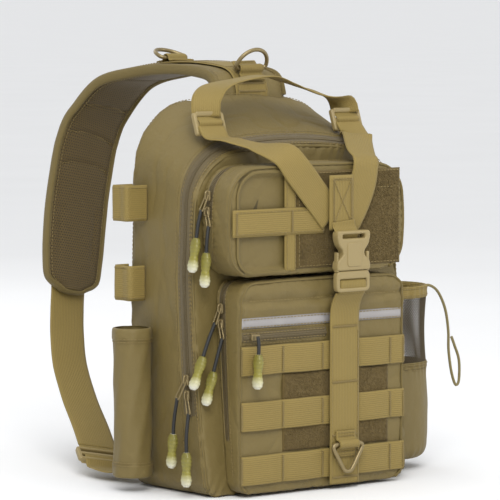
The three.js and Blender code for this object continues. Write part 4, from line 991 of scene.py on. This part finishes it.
def sling_frames(low, high, count):
    curve = curve_points(SLING, 19 * 24 + 1)
    pick = np.linspace(low * 24, high * 24, count)
    grown = np.stack([np.interp(pick, np.arange(len(curve)), curve[:, k]) for k in range(4)], 1)
    mid = grown[:, :3]
    along = tangents(mid)
    across = unit(X - along * along[:, :1])
    out = np.cross(across, along)
    return mid, along, across, out, np.interp(pick / 24, np.arange(len(SLING)), SLING[:, 3])


mid, along, across, out, half = sling_frames(0, 13, 220)
gone = np.concatenate([[0], np.cumsum(np.linalg.norm(np.diff(mid, axis=0), axis=1))])
end_round = np.sqrt(np.clip(1 - (1 - np.clip((gone[-1] - gone) / 16, 0, 1)) ** 2, 0.05, 1))
half = half * np.where(gone[-1] - gone < 16, lerp(0.55, 1, end_round), 1)
CHANNELS = [150, 205, 237, 265]


def pad_face(side):
    """One face of the pad, from edge to edge. The inner face has sewn channels and a raised box."""
    u = np.linspace(-1, 1, 30)[None]
    down = gone[:, None]
    rows = mid[:, None] + across[:, None] * (half[:, None] * u * 0.975)[..., None]
    level = np.broadcast_to(4.4 * (1 - np.abs(u) ** 5 * 0.62) * side, (len(mid), 30)).copy()
    if side < 0:
        for c in CHANNELS:
            level += 2.1 * np.exp(-((down - c - 6 * u ** 2) / 2.4) ** 2) * (np.abs(u) < 0.86)
        level -= 0.8 * (1 - u ** 2)
        box = smooth((down - 300) / 10) * smooth((360 - down) / 10)
        level += 1.6 * np.exp(-((np.abs(u) - 0.62) / 0.05) ** 2) * box
    level += 0.45 * noise_at(rows, 26, 12)
    level += 0.25 * np.sin(down / 2.7) * np.exp(-(1 - np.abs(u)) * 9)
    return rows + out[:, None] * level[..., None]


loop = np.concatenate([pad_face(1), pad_face(-1)[:, ::-1]], axis=1)
pad = grid("pad_cover", loop, cloth, ["sling_pad"], wrap=True, cap=True)
pad.data.materials.append(airmesh)
ends = loop.shape[1]
for polygon in pad.data.polygons:
    column = polygon.index % ends
    if 31 <= column <= 57 and polygon.index < (len(mid) - 1) * ends:
        polygon.material_index = 1

# Bound edge of the pad
left = mid - across * half[:, None]
right = mid + across * half[:, None]
tail = [mid[-1] + along[-1] * 1.5 * math.cos(a) + across[-1] * half[-1] * math.sin(a)
    for a in np.linspace(-1.45, 1.45, 15)]
rim = np.vstack([left, tail, right[::-1]])
rim = spaced(rim, 2.4)
profile = tube_points(rim, 2.2, 12, False, (0, 0, 1))
shift = profile - rim[:, None]
nearest = np.array([int(np.argmin(np.linalg.norm(mid - q, axis=1))) for q in rim])
o = out[nearest][:, None]
shift = shift + o * (shift * o).sum(2, keepdims=True) * 1.15
grid("pad_binding", rim[:, None] + shift, binding, wrap=True, cap=True)
for side_out in (4.2, -4.4):
    for edge in (-0.875, 0.875):
        stitch_line(mid + across * (half * edge)[:, None] + out * side_out, out * np.sign(side_out), 3.4, 0.1)
for c in CHANNELS:
    k = int(np.argmin(np.abs(gone - c)))
    u = np.linspace(-0.8, 0.8, 24)
    idx = [int(np.argmin(np.abs(gone - c - 6 * q * q))) for q in u]
    stitch_line(np.array([mid[i] + across[i] * half[i] * q - out[i] * 2.9 for i, q in zip(idx, u)]),
        -out[idx], 3.2, 0.1)

m2, _, x2, o2, _ = sling_frames(0.4, 19, 240)
WEB_OUT = 5.85
route = np.hstack([m2 + o2 * WEB_OUT, x2])
mid_w, out_w, across_w = strap_mesh("sling_web", route[::3], 36, 1.5, ["sling_webbing"], seed=8, wave=0.3)
sign = 1.0 if (out_w[3] @ o2[5]) > 0 else -1.0
edge_stitches(mid_w, out_w * sign, across_w, 15.6, 0.95, 0.0, 0.72)
for at in (1.0, 1.45, 2.5, 4.0, 5.3, 8.0, 10.5, 12.6):
    fm, fa, fx, fo, _ = sling_frames(at, at + 0.01, 2)
    centre = fm[0] + fo[0] * (WEB_OUT + 1.1)
    count = 40
    zig = [centre + fx[0] * (k / count - 0.5) * 30 + fa[0] * (1 if k % 2 else -1) for k in range(count)]
    zig = np.array(zig)
    way = unit(zig[1:] - zig[:-1])
    n = np.broadcast_to(fo[0], way.shape)
    STITCHES.append(("bag", (zig[1:] + zig[:-1]) / 2, way, unit(np.cross(n, way)), n))


# Rings and their keepers
def d_ring_line(inside=30.0, wire=1.8, tall=19.0):
    half = inside / 2 + wire
    points = [[x, 0, 0] for x in np.linspace(-half + 3, half - 3, 14)]
    for a in np.linspace(0, math.pi, 40):
        points.append([half * math.cos(a), 0, max(tall - half + half * math.sin(a), 2.0)])
    return spaced(np.array(points + points[:1]), 1.6)[:-1]


def keeper_mesh(name, x, y, z, at, width, nodes):
    """Webbing folded round the ring's straight bar: x along the strap, y outward, z across."""
    bore, thick, tail = 3.1, 1.5, 11.0
    path = [[-tail, -2.9], [-5, -2.9], [-3.3, -1.2]]
    for a in np.linspace(math.pi * 0.98, 0.02, 16):
        path.append([bore * math.cos(a), bore * math.sin(a)])
    path += [[3.3, -1.2], [5, -2.9], [tail, -2.9]]
    rows = [[*(at + x * u + y * v), *z] for u, v in path]
    strap_mesh(name, rows, width, thick, nodes, step=0.9, wave=0)
    for u in (-9.4, -6.8, 6.8, 9.4):
        base = at + x * u + y * -2.0
        stitch_line(np.array([base - z * (width / 2 - 2), base + z * (width / 2 - 2)]), y, 2.8, 0.05)


# Columns: name, bar's centre, way along the bar, way of the ring, lean from the strap's outward side
RINGS = [
    ("front", (24.04, 52.97, 355.30), (1, 0.011, 0.012), (-0.005, -0.498, 0.867), -0.3),
    ("rear", (12.86, 148.09, 363.21), (0.979, 0.201, -0.020), (-0.180, 0.914, 0.364), -1.1),
]
for label, centre, bar, up, lean in RINGS:
    centre, bar, up = np.array(centre), unit(bar), unit(up)
    outward = unit(np.array(Matrix.Rotation(-lean, 3, Vector(bar))) @ up)
    along_k = unit(np.cross(outward, bar))
    keeper_mesh("keeper_%s_web" % label, along_k, outward, bar, centre, 26, ["keeper_" + label])
    thin = unit(np.cross(up, bar))
    pts = np.array([centre + bar * q[0] + up * q[2] for q in d_ring_line()])
    tube("d_ring_%s_wire" % label, pts, 1.8, 14, metal, ["d_ring_" + label], "d_ring_" + label,
        True, tuple(thin))

TRI_Y, TRI_TOP = -88.1, 38.5
corners = [(-14.5, 0), (14.5, 0), (16.6, -2.4), (3.4, -23.6), (-3.4, -23.6), (-16.6, -2.4)]
tri = rounded(corners, 3.2, 6)
tri = spaced(np.array([[STRAP_X + x, TRI_Y, TRI_TOP + z] for x, z in tri + tri[:1]]), 1.5)[:-1]
tube("tri_ring_wire", tri, 1.8, 14, metal, ["tri_ring"], "tri_ring", True)
keeper_mesh("ring_keeper_web", Z, -Y, X, np.array([STRAP_X, TRI_Y, TRI_TOP]), 22, ["ring_keeper"])

# Ladder lock at the strap's foot, threaded webbing and the webbing to the corner
fm, fa, fx, fo, _ = sling_frames(18.99, 19, 2)
foot, foot_across, foot_out = fm[1], fx[1], fo[1]
foot_along = unit(np.cross(foot_out, foot_across))
foot_end = foot + foot_out * WEB_OUT
at = foot_end + foot_along * (8.5 + 0.3)
ladder("sling_lock", 44, 17, 5, axes(foot_across, foot_along, foot_out, at), ["sling_slider"])
thread_row = [[-5, 0.2], [-0.5, 0.6], [3.2, 3.3], [8.2, 4.0], [12.4, 2.4], [14.2, -1.2]]
strap_mesh("sling_thread", [[*(foot_end + foot_along * u + foot_out * v), *foot_across] for u,
    v in thread_row], 35, 1.4, step=0.9, wave=0)
start = foot_end + foot_along * 18.5
before = foot_end + foot_along * 11.5
strap_mesh("anchor_web", [
    [*(before - foot_out * 2.2), *foot_across], [*(start - foot_out * 0.8), *foot_across],
    [*(start + foot_along * 8), *foot_across],
    [-102, 78, 7.5, 1, 0, 0], [-98, 62, 10, 1, 0, 0], [-98, 49, 14, 1, 0, 0]], 32, 1.5, ["anchor_webbing"],
    seed=10)

# Rod sleeve and loops
turn = np.linspace(0, 2 * math.pi, 96, endpoint=False)
levels = np.concatenate([[12, 12.4, 13.2], np.linspace(15, 136, 60), [137.8, 138.6, 139]])
sleeve_x, sleeve_y = -130.6, 17.0
rows = []
for z in levels:
    hem = 0.7 * (smooth((z - 128) / 1.5) + smooth((24.5 - z) / 1.5))
    lip = -1.2 * (math.exp(-(z - 12) / 0.7) + math.exp(-(139 - z) / 0.7))
    radius = 16.2 + hem + lip
    radius = radius + 0.55 * np.sin(3 * turn + z / 17) * math.sin(math.pi * (z - 12) / 127) + 0.3 * np.sin(7 *
        turn - z / 9)
    radius = radius - 1.1 * np.exp(-((turn - 1.2) / 0.10) ** 2)
    rows.append(np.stack([sleeve_x + radius * np.cos(turn), sleeve_y + radius * np.sin(turn), np.full(96, z)],
        1))
outer = np.array(rows)
outer[..., :2] += (0.8 * noise_at(outer, 20, 15)[..., None] * unit(outer[..., :2] - [sleeve_x, sleeve_y]))
inner = outer.copy()
inner[..., :2] = [sleeve_x, sleeve_y] + (outer[..., :2] - [sleeve_x, sleeve_y]) * 0.9
grid("sleeve_cloth", np.concatenate([outer, inner[::-1]]), cloth, ["rod_sleeve"], wrap=True,
    around=True)
for z in (127.5, 130, 22.5, 25):
    ringp = np.stack([sleeve_x + 17.2 * np.cos(turn), sleeve_y + 17.2 * np.sin(turn), np.full(96, z)], 1)
    stitch_line(ringp, unit(ringp - [sleeve_x, sleeve_y, z]), 3.2, -0.1)


def rod_loop(name, out_by, rear, front, bottom, top, near, node):
    """Square loop of webbing with a soft crease."""
    path = [(near, front + 1), (near - 2.5, front + 0.9), (near - out_by + 3.5, front + 0.9),
        (near - out_by + 0.9, front + 3.6),
            (near - out_by + 2.0, (front + rear) / 2), (near - out_by + 0.9, rear - 3.6),
            (near - out_by + 3.5, rear - 0.9), (near - 2.5, rear - 0.9), (near, rear - 1)]
    rows = [[x, y, (bottom + top) / 2, 0, 0, 1] for x, y in path]
    m, o, a = strap_mesh(name, rows, top - bottom, 1.6, [node], step=1.2, wave=0.35, seed=near)
    o = o if o[0, 1] < 0 else -o
    for edge in (-1, 1):
        stitch_line(m + a * edge * ((top - bottom) / 2 - 2.2) + o * 0.9, o, 3.0, 0.05)


rod_loop("loop_upper_web", 22, 43, 20.5, 228.5, 259, -111.9, "rod_loop_upper")
rod_loop("loop_lower_web", 16, 47, 22, 160.5, 190.5, -113.4, "rod_loop_lower")


# Bottle pocket: tray, hem and net
POUCH_MIDDLE = np.array([130, -2])


def pocket_line(grow, near, count=90):
    radius = 36 + grow
    a = np.linspace(-math.pi / 2, math.pi / 2, count)
    arc = np.stack([134 + radius * np.cos(a), -2 + radius * np.sin(a)], 1)
    left_side = np.stack([np.linspace(near, 134, 12)[:-1], np.full(11, -2 - radius)], 1)
    return np.vstack([left_side, arc, (left_side * [1, -1] + [0, -4])[::-1]])


rows = []
for z in np.concatenate([9 + 10 * (1 - np.cos(np.linspace(0, math.pi / 2, 9))), np.linspace(21, 92, 34)]):
    t = (z - 9) / 83
    grow = -9 * (1 - math.sqrt(max(1 - (1 - min(t / 0.13, 1)) ** 2, 0))) + 2 * math.sin(math.pi *
        min(max(t, 0), 1))
    line = pocket_line(grow - 0.3, 113.4)
    rows.append(np.column_stack([line, np.full(len(line), z)]))
p = np.array(rows)
n = unit(np.concatenate([p[..., :2] - [120, -2], np.zeros(p.shape[:2] + (1,))], axis=2))
span = np.linspace(0, 1, p.shape[1])
level = 0.9 * noise_at(p, 26, 17) + 0.5 * np.abs(noise_at(p * [1, 1, 0.5], 13, 18))
pleat = sum(-1.5 * np.exp(-((span[None] - at) / 0.012) ** 2) * smooth((60 - p[..., 2]) / 40)
            for at in (0.30, 0.62))
gather = 0.5 * np.sin(span[None] * 150) * np.exp(-np.abs(p[..., 2] - 92) / 7) + 0.5 * np.sin(span[None] *
    120) * np.exp(-np.abs(p[..., 2] - 12) / 8)
p = p + n * (level + pleat + gather)[..., None]
p[..., 0] = np.maximum(p[..., 0], 113.2)
low = p[:1].copy()
low[..., :2] = [128, -2] + (p[:1, :, :2] - [128, -2]) * 0.05
low[..., 0] = np.maximum(low[..., 0], 113.2)
grid("tray_cloth", np.concatenate([low, p]), cloth, ["side_pocket_base"], box=True)
line = pocket_line(0.4, 113.6)
for z in (93.5, 91.0, 88.6):
    pts = np.column_stack([line + unit(line - POUCH_MIDDLE) * (0.6 if z > 92 else -0.2),
        np.full(len(line), z)])
    stitch_line(pts, unit(pts - [*POUCH_MIDDLE, z]), 3.0, 0.2)


def pocket_band(name, bottom, top, grow, thick, material, nodes=()):
    rows = []
    line = pocket_line(grow, 113.4)
    normal = unit(line - POUCH_MIDDLE)
    for dz, deep in [(0, thick), (0, 0.3), (0.08, 0), (0.3, -0.15), (0.5, 0.1), (0.7, -0.15), (0.92, 0),
            (1, 0.3), (1, thick)]:
        rows.append(np.column_stack([line - normal * deep, np.full(len(line), bottom + (top - bottom) * dz)]))
    p = np.array(rows)
    span = np.linspace(0, 1, p.shape[1])
    p[..., :2] += normal * (0.45 * np.sin(span * 130)[:, None])
    return grid(name, np.transpose(p, (1, 0, 2)), material, nodes, wrap=True)


pocket_band("pocket_seam", 89.5, 95.5, 0.5, 1.2, binding)
pocket_band("pocket_hem", 152.6, 163, 0.6, 2.6, web, ["side_pocket_hem"])
for z in (154.6, 161):
    line = pocket_line(1.0, 113.6)
    pts = np.column_stack([line, np.full(len(line), z)])
    stitch_line(pts, unit(pts - [*POUCH_MIDDLE, z]), 3.0, 0.2)


def net_cloth():
    """Open net: threads that cross in small rhombs, round the pocket's wall."""
    line = spaced(np.column_stack([pocket_line(-0.3, 113.6), np.zeros(len(pocket_line(0, 113.6)))]), 1.0)
    length = len(line) - 1
    verts, faces = [], []
    step, rise = 2.6, 2.9
    sides = 4
    bottom, top = 92.5, 154.0
    segment = 1.45
    for lean in (-1, 1):
        start = -(top - bottom) / rise * step if lean > 0 else 0
        stop = length if lean > 0 else length + (top - bottom) / rise * step
        for s0 in np.arange(start, stop, step):
            pts = []
            for z in np.arange(bottom, top, segment):
                s = s0 + lean * (z - bottom) / rise * step
                if 0 <= s <= length:
                    k = int(s)
                    q = line[k] * (1 - (s - k)) + line[min(k + 1, length)] * (s - k)
                    sag = -1.6 * math.sin(math.pi * (z - bottom) / (top - bottom))
                    away = unit(q[:2] - POUCH_MIDDLE) * (lean * 0.16 + sag)
                    pts.append([q[0] + away[0], q[1] + away[1], z])
            if len(pts) < 2:
                continue
            pts = np.array(pts)
            ringp = tube_points(pts, 0.42, sides, False, (0, 1, 0.3))
            base = len(verts)
            verts.extend(ringp.reshape(-1, 3))
            for r in range(len(pts) - 1):
                for k in range(sides):
                    a, b = base + r * sides + k, base + r * sides + (k + 1) % sides
                    faces.append([a, b, b + sides, a + sides])
    return make_mesh("pocket_net", verts, faces, net_thread, ["side_pocket_mesh"])


net_cloth()

# Elastic cord of the side pocket
cord_rows = [
    [170.9, -6, 158], [180, -7, 160], [190, -8, 154], [199, -8, 138], [203, -8, 118], [203.5, -8, 100],
    [207, -8, 80],
    [212, -8, 68], [216, -8, 72], [216, -8, 90], [210.5, -8, 104], [206.8, -8, 112]]
path = spaced(curve_points(cord_rows, 200), 1.6)
loop_cord = tube("pocket_cord_line", path, 1.25, 10, olive_cord, ["pocket_cord"],
    hint=(0, 1, 0.01))


# Zipper sliders and pulls
def rotated(v, axis, angle):
    return np.array(Matrix.Rotation(angle, 3, Vector(axis)) @ Vector(v))


def pull_end(name, start, way):
    across_p = unit(Y - way * way[1])
    deep = unit(np.cross(way, across_p))
    table = [(0, 2.2, 2.0), (0.03, 3.6, 2.5), (0.08, 4.4, 2.9), (0.2, 5.0, 3.2), (0.3, 5.2, 3.2),
        (0.42, 4.3, 2.8), (0.52, 3.7, 2.6), (0.64, 4.4, 2.9),
             (0.78, 5.4, 3.4), (0.88, 5.2, 3.1), (0.95, 4.2, 2.6), (1.0, 2.4, 1.6)]
    at = np.linspace(0, 1, 40)
    wide = np.interp(at, [t[0] for t in table], [t[1] for t in table])
    thick = np.interp(at, [t[0] for t in table], [t[2] for t in table])
    wide = np.convolve(np.pad(wide, 1, "edge"), [0.25, 0.5, 0.25], "valid")
    turn = np.arange(20) * 2 * math.pi / 20
    rib = 1 + 0.05 * np.sin(at * 2 * math.pi * 9)
    sx = np.sign(np.cos(turn)) * np.abs(np.cos(turn)) ** 0.75
    sy = np.sign(np.sin(turn)) * np.abs(np.sin(turn)) ** 0.75
    p = start + way * (at * 29)[:, None, None] + across_p * (wide * rib)[:, None, None] * sx[None, :,
        None] + deep * (thick * rib)[:, None, None] * sy[None, :, None]
    return grid(name, p, moulded, wrap=True, cap=True)


def slider_parts(label, face, y, z, tab, swing, lift):
    """Slider body with a bridge, and its long loop tab."""
    m = axes([0, 1, 0], [0, 0, 1], [-1, 0, 0], [face - 1.0, y, z])
    plate("slider_%s_body" % label,
        rounded([(-3.5, -3.2), (-2.2, -4.5), (2.2, -4.5), (3.5, -3.2), (3.3, 3.5), (1.4, 4.5), (-1.4, 4.5),
        (-3.3, 3.5)], 0.8), [], 2.0, 0.6,
          metal, m, ["slider_" + label])
    bridge = np.array([[face - 1.6, y, z + 3.6], [face - 3.2, y, z + 2.6], [face - 3.6, y, z],
        [face - 3.2, y, z - 2.6], [face - 1.6, y, z - 3.6]])
    tube("slider_%s_bridge" % label, spaced(curve_points(bridge, 24), 0.6), 0.75, 8, metal)
    x_axis = np.array([0, 1, 0.0])
    down = np.array([0, 0, 1.0])
    normal = np.array([-1.0, 0, 0])
    x_axis, down, normal = (rotated(rotated(v, (0, 1, 0), lift), (1, 0, 0), swing)
        for v in (x_axis, down, normal))
    tab_m = axes(x_axis, down, normal, np.array([face - 1.9, y, z]))
    plate("slider_%s_tab" % label, rounded([(-2.4, 1), (-3.0, -tab), (3.0, -tab), (2.4, 1)], 1.2),
          [rounded([(-1.1, -1.2), (-1.5, -tab + 1.4), (1.5, -tab + 1.4), (1.1, -1.2)], 0.8)], 1.2, 0.45,
          metal, tab_m)
    return np.array([face - 1.9, y, z]) + rotated(rotated((0, 0, -tab + 1.2), (0, 1, 0), lift), (1, 0, 0),
        swing)


PULLS = [
    ("main_high", MAIN, MAIN_ZIP, 98, 18, 0.3, 0.3, [[-121, -29, 64], [-121.5, -28, 49]]),
    ("main_low", MAIN, MAIN_ZIP, 85, 17, -0.35, 0.1, [[-120.5, -45.5, 52], [-121, -46, 35]]),
    ("upper_high", UPPER, POCKET_ZIP, 253, 14, 0.1, 0.4, [[-111.5, -50.5, 230], [-114, -50.5, 215]]),
    ("upper_low", UPPER, POCKET_ZIP, 239.5, 14, -0.4, 0.1, [[-108.5, -58.5, 217], [-109.5, -58.5, 203]]),
    ("lower_high", LOWER, POCKET_ZIP, 158, 14, 0.05, 0.36, [[-105, -55.5, 132], [-112, -56, 116]]),
    ("lower_low", LOWER, POCKET_ZIP, 145, 14, -0.4, 0.1, [[-99, -59.5, 117], [-103, -59, 103]]),
]


def pull_parts(label, start, bends):
    way = unit(np.array(bends[-1]) - np.array(bends[-2]))
    last = np.array(bends[-1], float)
    rows = [start, *bends[:-1], last, last + way * 12]
    points = spaced(curve_points(rows, 80), 1.2)
    obj = tube("pull_%s_cord" % label, points, 1.5, 12, black_cord, ["pull_" + label])
    end = pull_end("pull_%s_end" % label, last - way * 3, way)


for label, form, share, z, tab, swing, lift, bends in PULLS:
    side_points = section(form, share)
    left_half = side_points[:len(side_points) // 2]
    k = int(np.argmin(np.abs(left_half[:, 2] - z) + (left_half[:, 0] > form["centre"]) * 1000))
    face = min(left_half[max(k - 2, 0), 0], left_half[k, 0], left_half[k + 2, 0]) - 0.6
    start = slider_parts(label, face, left_half[k, 1], z, tab, swing, lift)
    pull_parts(label, start, bends)
plate("slider_slot_body", rounded([(-79.5, 132.2), (-70.5, 132.8), (-70.5, 137.2), (-79.5, 137.8)], 1.2), [],
    2.4, 0.7, metal, front_axes(-80.9), ["slider_slot"])
pull_parts("slot", np.array([-75.3, -84.8, 136]), [[-75.6, -86.5, 128], [-76.3, -86.8, 118]])

# All stitches of a body as one piece
by_body = {}
for body, origin, along_s, side_s, normal_s in STITCHES:
    by_body.setdefault(body, []).append((origin, along_s, side_s, normal_s))
verts_s, faces_s = stitch_template(2.7, 0.36)
for body, rows in by_body.items():
    places = tuple(np.vstack([row[k] for row in rows]) for k in range(4))
    copies("thread_" + body, verts_s, faces_s, places, thread, body)


# Floor, light and camera
def stage_mesh(name, verts, faces, material):
    mesh = bpy.data.meshes.new(name)
    mesh.from_pydata(verts, [], faces)
    mesh.materials.append(material)
    obj = bpy.data.objects.new(name, mesh)
    bpy.context.scene.collection.objects.link(obj)


pale = Nodes("pale_floor")
pale.finish(pale.mix(pale.noise(3, 2), (0.80, 0.80, 0.80), (0.84, 0.84, 0.84)), 0.7)
side = 200.0
corners = [(-side, -side, -0.0004), (side, -side, -0.0004), (side, side, -0.0004), (-side, side, -0.0004)]
stage_mesh("floor", corners, [[0, 1, 2, 3]], pale.material)


def area_light(name, at, target, size, power, colour=(1, 1, 1)):
    data = bpy.data.lights.new(name, "AREA")
    data.size = size
    data.energy = power
    data.color = colour
    obj = bpy.data.objects.new(name, data)
    bpy.context.scene.collection.objects.link(obj)
    obj.location = at
    obj.rotation_euler = (Vector(target) - Vector(at)).to_track_quat("-Z", "Y").to_euler()
    return obj


area_light("key", (-1.1, -1.5, 1.5), (0, 0, 0.15), 1.0, 26)
area_light("fill", (1.5, -1.3, 0.8), (0, 0, 0.15), 1.4, 9)
area_light("back", (0.2, 1.7, 1.2), (0, 0.1, 0.2), 1.2, 6)
sky = bpy.data.lights.new("sky", "SUN")
sky.energy = 1.7
sky.angle = 1.2
sun = bpy.data.objects.new("sky", sky)
bpy.context.scene.collection.objects.link(sun)
sun.rotation_euler = (0.25, -0.2, 0)
world = bpy.data.worlds.new("studio")
world.use_nodes = True
world.node_tree.nodes["Background"].inputs[0].default_value = (0.95, 0.97, 1.0, 1)
world.node_tree.nodes["Background"].inputs[1].default_value = 0.5
bpy.context.scene.world = world
bpy.context.scene.view_settings.view_transform = "Standard"

camera = bpy.data.cameras.new("camera")
camera.lens = 248.4
camera.sensor_width = 36
eye = bpy.data.objects.new("camera", camera)
bpy.context.scene.collection.objects.link(eye)
target = Vector((-0.001437, 0.020499, 0.198436))
back = Vector((-0.61385, -0.78569, 0.07672))
eye.location = target + back * 3.0
eye.rotation_euler = (-back).to_track_quat("-Z", "Y").to_euler()
bpy.context.scene.camera = eye
